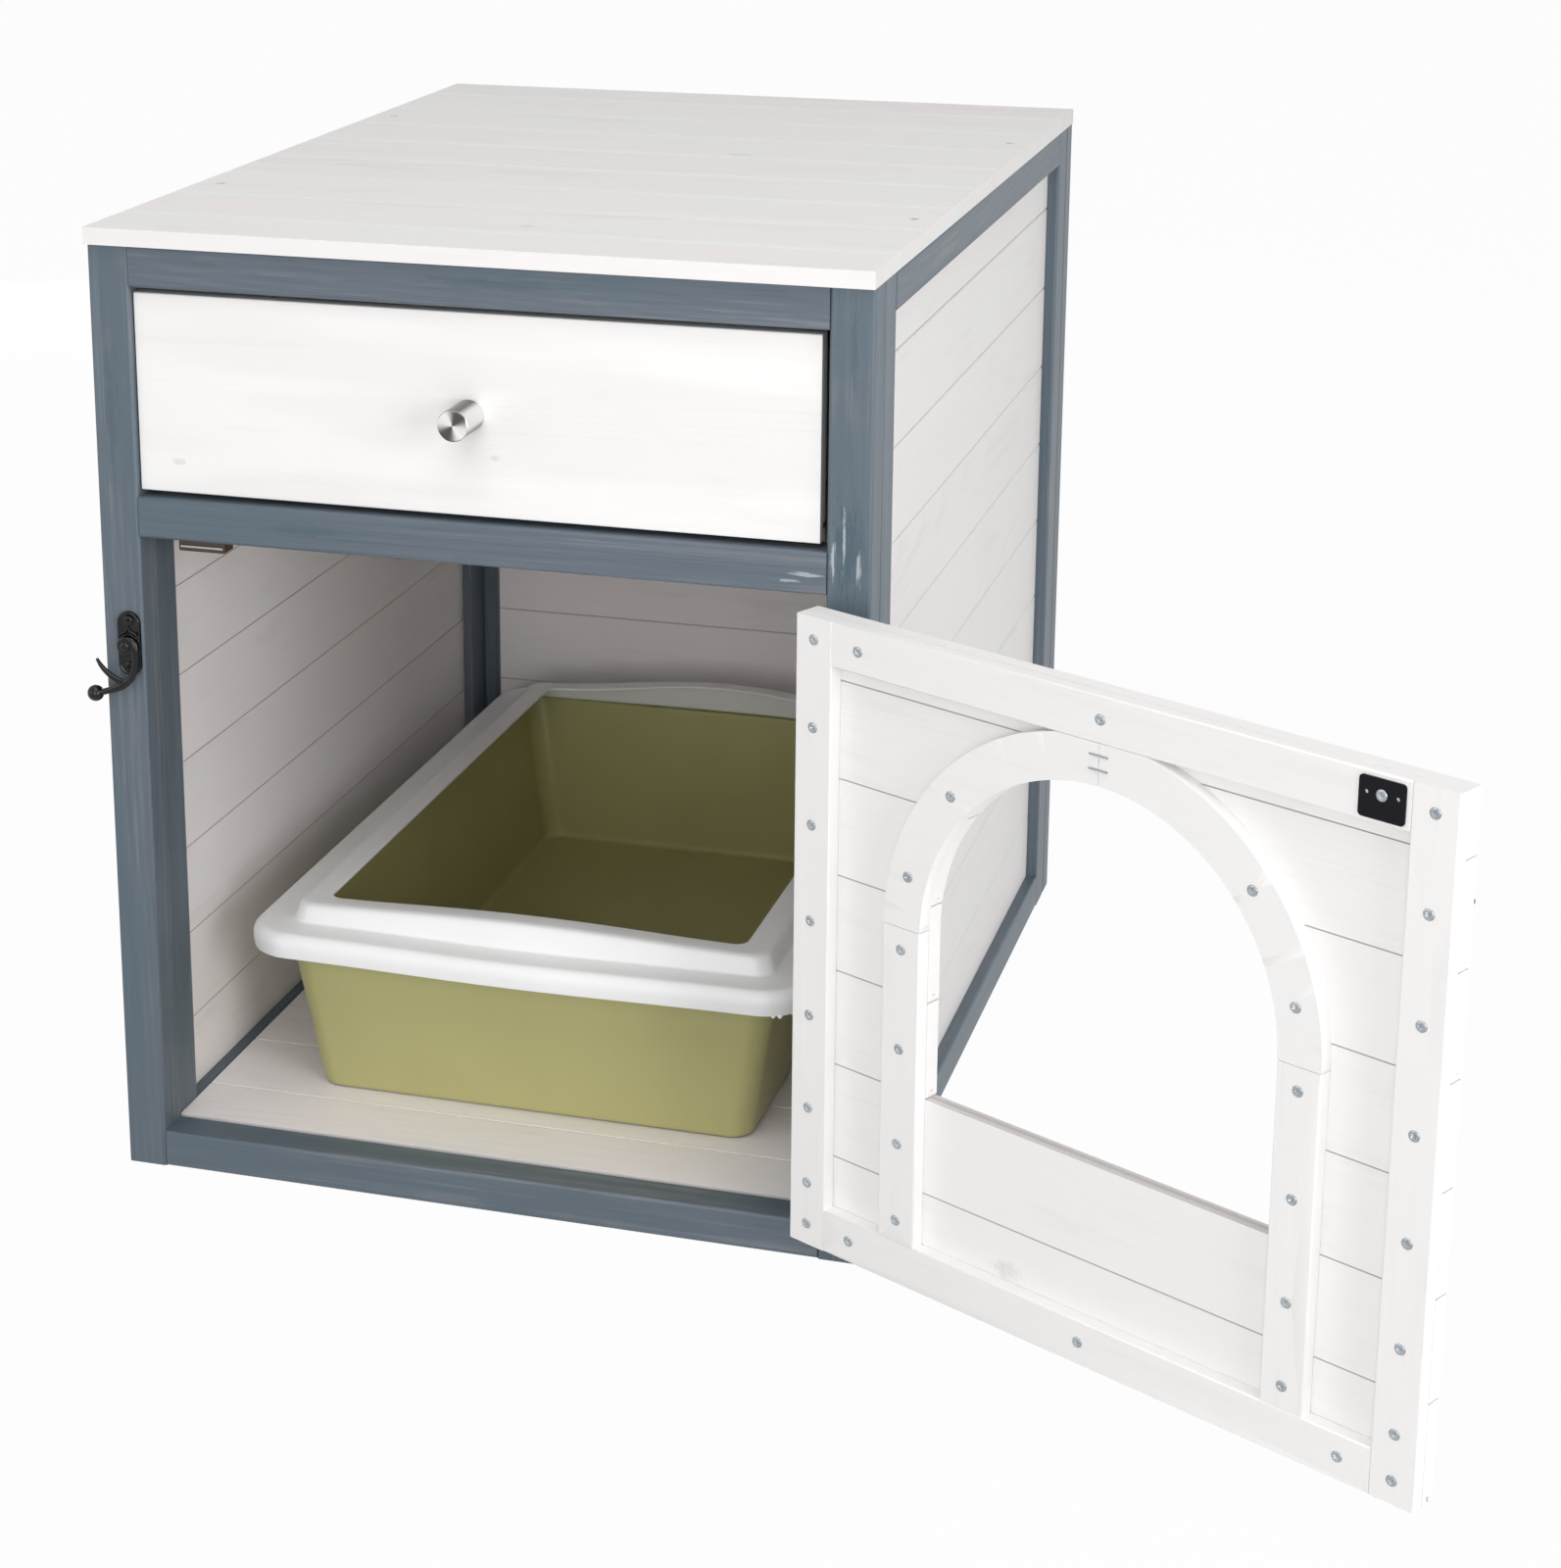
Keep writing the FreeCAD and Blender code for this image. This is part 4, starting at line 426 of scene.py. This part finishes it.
def screw_head():
    """Points and faces of a head of radius 1, whose rim is at z = 0 and which rises a little."""
    work = bmesh.new()

    def ring(radius, up):
        turns = [math.tau * i / HEAD_STEPS for i in range(HEAD_STEPS)]
        return [work.verts.new((radius * math.cos(t), radius * math.sin(t), up)) for t in turns]

    rings = [ring(0.93, -0.22), ring(1.0, -0.05), ring(0.985, 0.02), ring(0.93, 0.07), ring(0.72, 0.12)]
    for low, high in zip(rings, rings[1:]):
        for i in range(HEAD_STEPS):
            j = (i + 1) % HEAD_STEPS
            work.faces.new((low[i], low[j], high[j], high[i]))
    arm = [(CROSS_LONG, -CROSS_WIDE), (CROSS_LONG, CROSS_WIDE), (CROSS_WIDE * 1.25, CROSS_WIDE * 1.25)]
    outline = []
    for quarter in range(4):
        turn = Matrix.Rotation(math.pi / 2 * quarter, 2)
        outline += [turn @ Vector(corner) for corner in arm]
    mouth = [work.verts.new((*corner, DOME_TOP)) for corner in outline]
    sole = [work.verts.new((*(corner * 0.42), DOME_TOP - CROSS_DEEP)) for corner in outline]
    loops = []
    for loop in (rings[-1], mouth):
        for pair in zip(loop, loop[1:] + loop[:1]):
            loops.append(work.edges.get(pair) or work.edges.new(pair))
    bmesh.ops.triangle_fill(work, use_beauty=True, use_dissolve=False, edges=loops)
    for i in range(len(mouth)):
        j = (i + 1) % len(mouth)
        work.faces.new((mouth[i], mouth[j], sole[j], sole[i]))
    work.faces.new(sole)
    bmesh.ops.recalc_face_normals(work, faces=work.faces)
    work.verts.index_update()
    points = [vert.co.copy() for vert in work.verts]
    faces = [[vert.index for vert in face.verts] for face in work.faces]
    work.free()
    return points, faces


def screws(node, outward, body, material, sunk=0.0):
    """Stands a detailed head on each solid of a screw node, each turned its own way."""
    base, sides = screw_head()
    points, faces = [], []
    outward = Vector(outward).normalized()
    upright = outward.to_track_quat("Z", "Y").to_matrix()
    for count, corners in enumerate(islands(node)):
        low = Vector([min(c[i] for c in corners) for i in range(3)])
        high = Vector([max(c[i] for c in corners) for i in range(3)])
        middle = (low + high) / 2
        face = max(corner.dot(outward) for corner in corners)
        middle += outward * (face - middle.dot(outward) - sunk)
        turn = upright @ Matrix.Rotation(count * 2.4, 3, "Z")
        start = len(points)
        points += [middle + turn @ (point * HEAD_RADIUS) for point in base]
        faces += [[start + i for i in side] for side in sides]
    piece = mesh_piece(node + "_heads", points, faces, material, body, node)
    sharp = piece.modifiers.new("round", "BEVEL")
    sharp.width, sharp.segments = HEAD_RADIUS * 0.03, 2
    sharp.limit_method, sharp.angle_limit = "ANGLE", math.radians(40)


# Swing latch: a cast arm on an oblong plate. LATCH is its pivot, at the arm's mid thickness.
LATCH = Vector((-0.2788, -0.408, 0.437))
FRONT_FACE = -0.400
PLATE_HALF, PLATE_REACH, PLATE_STEPS = 0.0095, 0.01615, 48
MM = 0.001


def tube(rings, closed=False):
    """Corners and faces of a skin over rings of equal count. It is capped at both ends, or
    closed on itself."""
    size = len(rings[0])
    corners = [corner for ring in rings for corner in ring]
    pairs = [(i, i + 1) for i in range(len(rings) - 1)]
    if closed:
        pairs.append((len(rings) - 1, 0))
    faces = []
    for low, high in pairs:
        for i in range(size):
            j = (i + 1) % size
            faces.append((low * size + i, low * size + j, high * size + j, high * size + i))
    if not closed:
        faces.append(tuple(reversed(range(size))))
        faces.append(tuple(range(len(corners) - size, len(corners))))
    return corners, faces


def smooth_line(points, steps=8):
    """Points along a soft curve through the given ones. Each may carry its own sizes."""
    rows = [Vector(point) for point in points]
    rows = [2 * rows[0] - rows[1], *rows, 2 * rows[-1] - rows[-2]]
    line = []
    for a, b, c, d in zip(rows, rows[1:], rows[2:], rows[3:]):
        for k in range(steps):
            t = k / steps
            square, cube = 2 * a - 5 * b + 4 * c - d, 3 * b - a - 3 * c + d
            line.append(0.5 * (2 * b + (c - a) * t + square * t * t + cube * t ** 3))
    return line + [rows[-2]]


def sweep(points, middle, sides=16):
    """A rod in an upright plane facing the front. A point is (across, up, width, depth) in mm,
    and middle gives the place that they count from."""
    line = smooth_line(points)
    rings = []
    for i, row in enumerate(line):
        ahead, behind = line[min(i + 1, len(line) - 1)], line[max(i - 1, 0)]
        run = Vector((ahead[0] - behind[0], ahead[1] - behind[1])).normalized()
        ring = []
        for k in range(sides):
            turn = math.tau * k / sides
            out, deep = row[2] / 2 * math.cos(turn), row[3] / 2 * math.sin(turn)
            spot = Vector((row[0] - run.y * out, deep, row[1] + run.x * out))
            ring.append(middle + spot * MM)
        rings.append(ring)
    return tube(rings)


def turned(profile, middle, sides=40):
    """A turned form about the y axis. Its profile gives (radius, towards the front) in mm."""
    turns = [math.tau * k / sides for k in range(sides)]
    return tube([
        [middle + Vector((radius * math.cos(t), -out, radius * math.sin(t))) * MM for t in turns]
        for radius, out in profile
    ])


def ball(across, up, radius, middle, rows=14):
    """A ball of so many mm, whose centre is (across, up) from the middle."""
    turns = [math.pi * (i + 0.5) / rows for i in range(rows)]
    profile = [(radius * math.sin(t), -radius * math.cos(t)) for t in turns]
    return turned(profile, middle + Vector((across, 0, up)) * MM)


def joined(*parts):
    """The corners and faces of several forms as one."""
    corners, faces = [], []
    for some, sides in parts:
        start = len(corners)
        corners += some
        faces += [tuple(start + i for i in side) for side in sides]
    return corners, faces


def face_outwards(piece):
    work = bmesh.new()
    work.from_mesh(piece.data)
    bmesh.ops.recalc_face_normals(work, faces=work.faces)
    work.to_mesh(piece.data)
    work.free()


def build_latch_arm(black):
    """The cast arm, with its prong, its ball and the eye that turns on the pivot. Its rods run
    through points of (across, up, width, depth)."""
    arm = [
        (-1.0, 2.0, 9.0, 4.2), (4.2, 2.6, 8.8, 4.2), (7.1, -2.6, 7.2, 4.2), (7.7, -9.1, 6.0, 4.2),
        (6.7, -17.5, 5.6, 4.2), (3.0, -25.6, 5.8, 4.2), (-5.0, -32.2, 6.8, 4.2),
        (-12.4, -35.8, 5.8, 4.2), (-18.0, -37.8, 5.2, 4.2), (-23.5, -39.4, 5.4, 4.2),
        (-26.0, -40.0, 6.0, 4.2),
    ]
    prong = [
        (0.5, -30.4, 5.8, 4.2), (-5.6, -29.2, 5.4, 4.2), (-11.8, -26.2, 5.0, 4.0),
        (-17.8, -21.6, 4.5, 3.7), (-22.0, -17.0, 3.6, 3.2), (-25.0, -12.0, 2.2, 2.4),
    ]
    eye = [(2.1, -2.0), (6.6, -2.0), (7.3, -1.3), (7.5, 0.6), (7.0, 1.5), (6.2, 2.0), (2.1, 2.0)]
    parts = joined(
        sweep(arm, LATCH), sweep(prong, LATCH), ball(-27.1, -40.1, 6.5, LATCH), turned(eye, LATCH)
    )
    piece = mesh_piece("latch_arm_cast", *parts, black, "latch", "latch_arm")
    face_outwards(piece)
    melt = piece.modifiers.new("melt", "REMESH")
    melt.mode, melt.voxel_size = "VOXEL", 0.00032
    melt.use_smooth_shade = True
    ease = piece.modifiers.new("ease", "SMOOTH")
    ease.factor, ease.iterations = 0.5, 4


def build_latch_plate(black):
    """The oblong plate, with its raised edge, cusped ridges, and the pillar and domed head
    that the arm turns on."""
    plate = LATCH + Vector((0, FRONT_FACE - LATCH.y, 0))
    rings = []
    for inset, out in (
        (0.0, 0.0), (0.0, 2.0), (0.35, 2.7), (0.95, 3.0), (1.6, 2.9), (2.2, 2.35), (2.8, 2.2), (5.5, 2.2),
    ):
        ring = []
        for k in range(PLATE_STEPS):
            turn = math.tau * k / PLATE_STEPS
            radius = PLATE_HALF - inset * MM
            lift = PLATE_REACH if math.sin(turn) >= 0 else -PLATE_REACH
            spot = Vector((radius * math.cos(turn), -out * MM, radius * math.sin(turn) + lift))
            ring.append(plate + spot)
        rings.append(ring)
    base = tube(rings)
    face = plate + Vector((0, -2.5 * MM, 0))
    left_cusp = [(-8.6, 4.6, 1.4, 2.2), (-6.0, 7.8, 2.1, 2.8), (-2.4, 9.6, 2.3, 3.0), (0.2, 13.6, 1.1, 2.0)]
    right_cusp = [(-across, *rest) for across, *rest in left_cusp]
    hood = [
        (-8.8, -1.0, 1.3, 2.0), (-7.4, 4.0, 1.8, 2.7), (0, 7.6, 2.0, 3.0),
        (7.4, 4.0, 1.8, 2.7), (8.8, -1.0, 1.3, 2.0),
    ]
    pillar = [(3.9, 0.0), (3.9, 5.9)]
    dome = [(4.0, 10.1), (4.0, 10.5), (3.7, 11.1), (3.0, 11.55), (2.0, 11.8), (0.9, 11.9)]
    shank = [(1.9, 5.0), (1.9, 10.2)]
    parts = joined(
        base, sweep(left_cusp, face), sweep(right_cusp, face), sweep(hood, face),
        turned(pillar, plate), turned(shank, plate), turned(dome, plate),
    )
    piece = mesh_piece("latch_plate_cast", *parts, black, "cabinet", "latch_plate")
    face_outwards(piece)
    sharp = piece.modifiers.new("sharp", "EDGE_SPLIT")
    sharp.split_angle = math.radians(48)


# The tray's mouldings are swept through rings: (side inset, end inset, height, corner
# radius, front crown, rear crown, bow of both ends), inside the rim's outline.
TRAY_HALF, TRAY_NEAR, TRAY_FAR = 0.235, -0.322, 0.342
TUB_FLOOR, TUB_TOP, TUB_WALL, TUB_CORNER = 0.0303, 0.172, 0.0025, 0.018
RIM_UNDER, RIM_WALL, SKIRT_DROP, COLLAR_RISE = 0.1723, 0.0022, 0.020, 0.016
RIM_CORNER, COLLAR_SIDE, COLLAR_END, OPENING_SIDE, OPENING_END = 0.040, 0.033, 0.028, 0.060, 0.052
ARC_STEPS, SIDE_STEPS = 14, 16


def outline(ring):
    """The points of one ring, from its near left corner round the tray."""
    side, end, up, corner, crown_near, crown_far, bow = ring
    half, near, far = TRAY_HALF - side, TRAY_NEAR + end, TRAY_FAR - end
    points = []

    def run(start, stop, crown, out):
        for i in range(SIDE_STEPS):
            t = i / SIDE_STEPS
            swell = 0.5 - 0.5 * math.cos(math.tau * t)
            x, y = start[0] + (stop[0] - start[0]) * t, start[1] + (stop[1] - start[1]) * t
            points.append((x, y + out * swell, up + crown * swell ** 0.8))

    def turn(cx, cy, first):
        for i in range(ARC_STEPS):
            angle = math.radians(first + 90 * i / ARC_STEPS)
            points.append((cx + corner * math.cos(angle), cy + corner * math.sin(angle), up))

    run((-half + corner, near), (half - corner, near), crown_near, -bow)
    turn(half - corner, near + corner, -90)
    run((half, near + corner), (half, far - corner), 0, 0)
    turn(half - corner, far - corner, 0)
    run((half - corner, far), (-half + corner, far), crown_far, bow)
    turn(-half + corner, far - corner, 90)
    run((-half, far - corner), (-half, near + corner), 0, 0)
    turn(-half + corner, near + corner, 180)
    return points


def softened(profile, radii, closed, steps=4):
    """The rings of a profile with each bend turned into a small curve."""
    rings, count = [], len(profile)
    for i, ring in enumerate(profile):
        if not closed and i in (0, count - 1):
            rings.append(ring)
            continue
        before, after, here = Vector(profile[i - 1]), Vector(profile[(i + 1) % count]), Vector(ring)

        def towards(other):
            gap = (Vector(other[:3]) - Vector(here[:3])).length
            return here + (other - here) * min(0.45, radii[i] / max(gap, 1e-9))

        start, stop = towards(before), towards(after)
        for k in range(steps + 1):
            t = k / steps
            rings.append(tuple(start * (1 - t) ** 2 + here * 2 * t * (1 - t) + stop * t * t))
    return rings


def moulding(name, profile, radii, closed, material, body, node):
    skin = tube([outline(ring) for ring in softened(profile, radii, closed)], closed)
    face_outwards(mesh_piece(name, *skin, material, body, node))


def build_tub(olive):
    floor, top, wall = TUB_FLOOR, TUB_TOP, TUB_WALL

    def foot(inset, up):
        return (0.052 + inset, 0.037 + inset, up, TUB_CORNER - inset / 2, 0, 0, 0)

    def brim(inset, up):
        return (0.029 + inset, 0.024 + inset, up, TUB_CORNER - inset / 2, 0, 0, 0)

    def lip(up):
        return (0.013, 0.007, up, 0.034, 0, 0, 0)

    tub = [
        foot(0.006, floor),
        foot(0.0, floor + 0.001),
        brim(0, top - wall),
        lip(top - wall),
        lip(top),
        brim(wall, top),
        foot(wall, floor + wall),
        foot(0.012, floor + wall),
    ]
    radii = (0, 0.004, 0.002, 0.001, 0.001, 0.003, 0.006, 0)
    moulding("tub_shell", tub, radii, False, olive, "tray", "tray_tub")


def build_rim(white):
    """A turned-down skirt, a flat deck, and a collar that rises round the opening."""
    under, thick = RIM_UNDER, RIM_WALL
    deck = under + thick
    skirt, high = deck - SKIRT_DROP, deck + COLLAR_RISE

    def ring(side, end, up, crowned=False):
        outer = min(1.0, side / COLLAR_SIDE)
        inner = max(0.0, side - COLLAR_SIDE) / (OPENING_SIDE - COLLAR_SIDE)
        corner = RIM_CORNER - 0.024 * outer - 0.006 * inner
        return (side, end, up, corner, 0.0062 if crowned else 0, 0.014 if crowned else 0, 0.005)

    def edge(inset, up):
        return ring(inset, inset, up)

    def collar(inset, up, crowned=True):
        return ring(COLLAR_SIDE + inset, COLLAR_END + inset, up, crowned)

    rim = [
        edge(0.0015, skirt),
        edge(0, skirt + 0.010),
        edge(0.0015, deck - 0.004),
        edge(0.0055, deck),
        collar(0, deck + thick / 2, False),
        collar(0.004, high - 0.002),
        collar(0.008, high),
        ring(OPENING_SIDE, OPENING_END, high, True),
        ring(OPENING_SIDE, OPENING_END, high - thick, True),
        collar(0.008, high - thick),
        collar(0.004 + thick, high - 0.002 - thick / 2),
        collar(thick, under + thick / 2, False),
        edge(0.0055 + thick / 2, under),
        edge(0.0015 + thick, under - 0.004),
        edge(thick, skirt + 0.010),
        edge(0.0015 + thick, skirt),
    ]
    outside = (0.0008, 0.004, 0.003, 0.0035, 0.0022, 0.003, 0.0035, 0.0009)
    inside = (0.0009, 0.0018, 0.0018, 0.0018, 0.0018, 0.0018, 0.0018, 0.0008)
    moulding("rim_shell", rim, outside + inside, True, white, "tray_rim", "tray_rim")

    # Small moulded nibs hang from the skirt at its right front corner
    centre = Vector((TRAY_HALF - 0.0405, TRAY_NEAR + 0.0405, skirt - 0.0004))
    nibs = []
    for angle, size in ((-66, 1.5), (-58, 2.0), (-40, 1.8), (-33, 1.4)):
        lean = math.radians(angle)
        spot = centre + 0.038 * Vector((math.cos(lean), math.sin(lean), 0))
        nibs.append(ball(0, 0, size, spot, 8))
    mesh_piece("rim_nibs", *joined(*nibs), white, "tray_rim")


# Materials on the CAD nodes


def soften(node, width):
    """Eases a solid's edges a little, as sanding does."""
    obj = NODES[node]
    weld = obj.modifiers.new("weld", "WELD")
    weld.merge_threshold = 0.00001
    ease = obj.modifiers.new("ease", "BEVEL")
    ease.width, ease.segments = width, 2
    ease.limit_method, ease.angle_limit = "ANGLE", math.radians(38)
    ease.use_clamp_overlap = True
    ease.harden_normals = True


def dress(node, material, ease=0.0):
    obj = NODES[node]
    obj.data.materials.clear()
    obj.data.materials.append(material)
    if ease:
        soften(node, ease)


# Marks in the stain: pale scuffs, and places where it soaked in darker
WHITE_SCUFF = (0.62, 0.66, 0.68)
TEAL = (0.045, 0.085, 0.11)


def dress_wood():
    seed = 0
    right_marks = (
        ((0.283, -0.4, 0.556), 0.034, 0.012, TEAL, 0.75),
        ((0.272, -0.4, 0.549), 0.014, 0.0016, WHITE_SCUFF, 0.55),
        ((0.291, -0.4, 0.543), 0.012, 0.0018, WHITE_SCUFF, 0.5),
        ((0.280, -0.4, 0.565), 0.020, 0.0012, WHITE_SCUFF, 0.5),
        ((0.286, -0.4, 0.700), 0.030, 0.004, TEAL, 0.4),
    )
    mid_marks = (
        ((0.252, -0.4, 0.536), 0.014, 0.0018, WHITE_SCUFF, 0.5),
        ((0.239, -0.4, 0.531), 0.010, 0.0012, WHITE_SCUFF, 0.45),
        ((-0.13, -0.4, 0.538), 0.035, 0.005, TEAL, 0.4),
    )
    for node, grain, marks in (
        ("front_stile_left", Z, (((-0.286, -0.4, 0.62), 0.05, 0.006, TEAL, 0.35),)),
        ("front_stile_right", Z, right_marks),
        ("front_top_rail", X, (((0.02, -0.4, 0.733), 0.06, 0.005, TEAL, 0.4),)),
        ("front_mid_rail", X, mid_marks),
        ("front_bottom_rail", X, ()),
    ):
        seed += 1
        dress(node, wood(node, STAINED, grain, seed=seed * 1.37, stains=marks), 0.0009)
    for side in ("left", "right", "rear"):
        rail = X if side == "rear" else Y
        names = ("left_stile", "right_stile") if side == "rear" else ("front_stile", "rear_stile")
        for part in names:
            seed += 1
            node = f"{side}_panel_{part}"
            dress(node, wood(node, STAINED, Z, seed=seed * 1.37), 0.0009)
        for part in ("bottom_rail", "top_rail"):
            seed += 1
            node = f"{side}_panel_{part}"
            dress(node, wood(node, STAINED, rail, seed=seed * 1.37), 0.0009)
    wall = (Z, 0.0904, 0.0733)
    # The left and rear boards, and the floor below, take the paler copy with painted light.
    for side, grain, look in (("left", Y, INSIDE_PAINTED_LIGHT), ("right", Y, WHITEWASH), ("rear", X, INSIDE_PAINTED_LIGHT)):
        seed += 1
        node = f"{side}_panel_boards"
        dress(node, wood(node, look, grain, wall, seed=seed))
    dress("floor_boards", wood("floor_boards", INSIDE_PAINTED_LIGHT, X, (Y, -0.3072, 0.0897), seed=41))
    dress("shelf_boards", wood("shelf_boards", WHITEWASH, X, (Y, -0.329, 0.0897), seed=43))
    top_knots = (
        ((0.0147, -0.3077, 0.759), 0.0045),
        ((0.0767, 0.0573, 0.759), 0.0065),
    )
    top = wood("top_boards", WHITEWASH, X, (Y, -0.336, 0.0951), False, 47, top_knots, pale_seams=True)
    dress("top_boards", top, 0.0012)
    drawer_knots = (
        ((-0.2342, -0.3945, 0.5821), 0.0030),
        ((0.0178, -0.3945, 0.6033), 0.0022),
    )
    # The drawer front takes the darker copy, with painted shade.
    dress("drawer_front", wood("drawer_front", DRAWER_PAINTED_SHADE, X, seed=51, knots=drawer_knots), 0.0008)
    door_knots = (((0.0690, -0.3850, 0.0732), 0.0075),)
    door_boards = wood("door_boards", PAINTED, X, (Z, 0.106, 0.0733), True, 53, door_knots)
    dress("door_boards", door_boards)
    for count, (node, grain) in enumerate((
        ("door_hinge_stile", Z), ("door_free_stile", Z), ("door_bottom_rail", X), ("door_top_rail", X),
        ("arch_hinge_leg", Z), ("arch_free_leg", Z), ("arch_hinge_half", X), ("arch_free_half", X),
    )):
        dress(node, wood(node, PAINTED, grain, None, True, 60 + count * 2.3), 0.0009)
    for count, (node, grain) in enumerate((
        ("drawer_sides", Y), ("drawer_back", X), ("drawer_bottom", X),
        ("drawer_runners", Y), ("floor_cleats", Y), ("shelf_cleats", Y),
    )):
        dress(node, wood(node, BARE, grain, seed=80 + count * 1.9))


def dress_metal():
    zinc = metal("zinc", (0.40, 0.43, 0.455), 0.27)
    # The strike plate's chrome gets a near-black base colour: a painted dark reflection, not the bright
    # metal's own colour.
    chrome = metal("chrome_painted_dark_reflection", (0.018, 0.018, 0.021), 0.06, worn=0.04, grain=300)
    black = metal(
        "black_enamel", (0.005, 0.005, 0.006), 0.13, worn=0.2, relief=0.00001, metallic=0.0,
        specular_ior_level=0.32,
    )
    low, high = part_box("drawer_knob")
    steel = turned_steel_painted_reflections("turned_steel_painted_reflections", (low + high) / 2)
    brown = plastic("brown_plastic_case", (0.055, 0.028, 0.016), 0.38)
    dress("drawer_knob", steel)
    dress("strike_plate", chrome)
    dress("catch_magnet_plates", zinc)
    dress("arch_staples", zinc)
    dress("catch_housing", brown, 0.0006)
    build_latch_arm(black)
    build_latch_plate(black)
    for node in ("latch_keeper", "hinge_pins", "hinge_door_leaves", "hinge_frame_leaves"):
        dress(node, black)
    screws("door_screws", DOOR_INWARD, "door", zinc)
    screws("strike_screw", DOOR_INWARD, "door", zinc)
    screws("top_screws", (0, 0, 1), "cabinet", zinc, 0.0004)
    screws("latch_screws", (0, -1, 0), "cabinet", black)
    screws("hinge_frame_screws", (0, -1, 0), "cabinet", black, 0.0003)
    screws("hinge_door_screws", -DOOR_INWARD, "door", black, 0.0003)
    dress("knob_screw", zinc)


FLOOR_REACH, FLOOR_DROP = 14, 0.0005
FLOOR_SHOWN, WORLD_LIT, WORLD_SHOWN = 0.97, 0.34, 1.0


def build_floor():
    """A pale floor. The camera and mirrors see it nearly white, and it keeps a soft shadow."""
    p = Paint("studio_floor")
    place = p.add("TexCoord", out="Object")
    mottled = p.noise(place, 6, 3)
    tone = p.ramp(mottled, ((0.2, grey(0.58)), (0.8, grey(0.62))))
    diffuse = p.add("BsdfDiffuse", {"Color": tone})
    glow = p.add("Emission", {"Color": (1, 1, 1, 1), "Strength": 1.0})
    ray = p.add("LightPath").node
    seen = p.math("MAXIMUM", ray.outputs["Is Camera Ray"], ray.outputs["Is Glossy Ray"])
    seen = p.math("MAXIMUM", seen, ray.outputs["Is Transmission Ray"])
    shader = p.add("MixShader", {0: p.times(seen, FLOOR_SHOWN), 1: diffuse, 2: glow})
    p.add("OutputMaterial", {0: shader})
    reach = FLOOR_REACH
    corners = [(-reach, -reach, 0), (reach, -reach, 0), (reach, reach, 0), (-reach, reach, 0)]
    data = bpy.data.meshes.new("studio_floor")
    data.from_pydata(corners, [], [(0, 1, 2, 3)])
    data.materials.append(p.material)
    ground = add("studio_floor", data)
    ground.location.z = -FLOOR_DROP


def build_world():
    world = bpy.data.worlds.new("studio")
    world.use_nodes = True
    tree = world.node_tree
    tree.nodes.clear()
    lit = tree.nodes.new("ShaderNodeBackground")
    lit.inputs[1].default_value = WORLD_LIT
    shown = tree.nodes.new("ShaderNodeBackground")
    shown.inputs[1].default_value = WORLD_SHOWN
    for node in (lit, shown):
        node.inputs[0].default_value = (1, 1, 1, 1)
    rays = tree.nodes.new("ShaderNodeLightPath")
    first = tree.nodes.new("ShaderNodeMath")
    second = tree.nodes.new("ShaderNodeMath")
    first.operation = second.operation = "MAXIMUM"
    blend = tree.nodes.new("ShaderNodeMixShader")
    output = tree.nodes.new("ShaderNodeOutputWorld")
    tree.links.new(rays.outputs["Is Camera Ray"], first.inputs[0])
    tree.links.new(rays.outputs["Is Glossy Ray"], first.inputs[1])
    tree.links.new(first.outputs[0], second.inputs[0])
    tree.links.new(rays.outputs["Is Transmission Ray"], second.inputs[1])
    tree.links.new(second.outputs[0], blend.inputs[0])
    tree.links.new(lit.outputs[0], blend.inputs[1])
    tree.links.new(shown.outputs[0], blend.inputs[2])
    tree.links.new(blend.outputs[0], output.inputs[0])
    bpy.context.scene.world = world


def build_lights():
    target = (0.1, -0.2, 0.35)
    area_light("front_box", (0.5, -3.6, 0.8), target, 1.7, 1.6, 26)
    area_light("front_high", (0.2, -3.0, 1.9), target, 1.4, 1.0, 8)
    area_light("right_box", (3.2, -2.7, 1.0), target, 1.6, 1.8, 46)
    area_light("side_box", (3.2, -1.0, 1.3), target, 1.4, 1.8, 26)
    area_light("left_box", (-2.6, -2.6, 1.0), target, 1.4, 1.8, 12)
    area_light("top_box", (0.3, -1.5, 3.0), (0, -0.1, 0.5), 2.0, 1.6, 23)
    area_light("back_box", (0.0, -0.1, 3.2), (0, 0, 0.5), 1.6, 1.4, 10)
    area_light("fill_box", (-1.6, 3.1, 0.42), (0, 0, 0.42), 2.2, 0.6, 22)


bpy.context.scene.view_settings.view_transform = "Standard"
build_camera()
build_floor()
build_world()
build_lights()
dress_wood()
dress_metal()
build_tub(plastic("olive_moulding", (0.435, 0.415, 0.185), 0.30, relief=0.000012, specular_ior_level=0.36))
build_rim(plastic("white_moulding", (0.885, 0.888, 0.885), 0.34, spread=0.015, relief=0.000012))
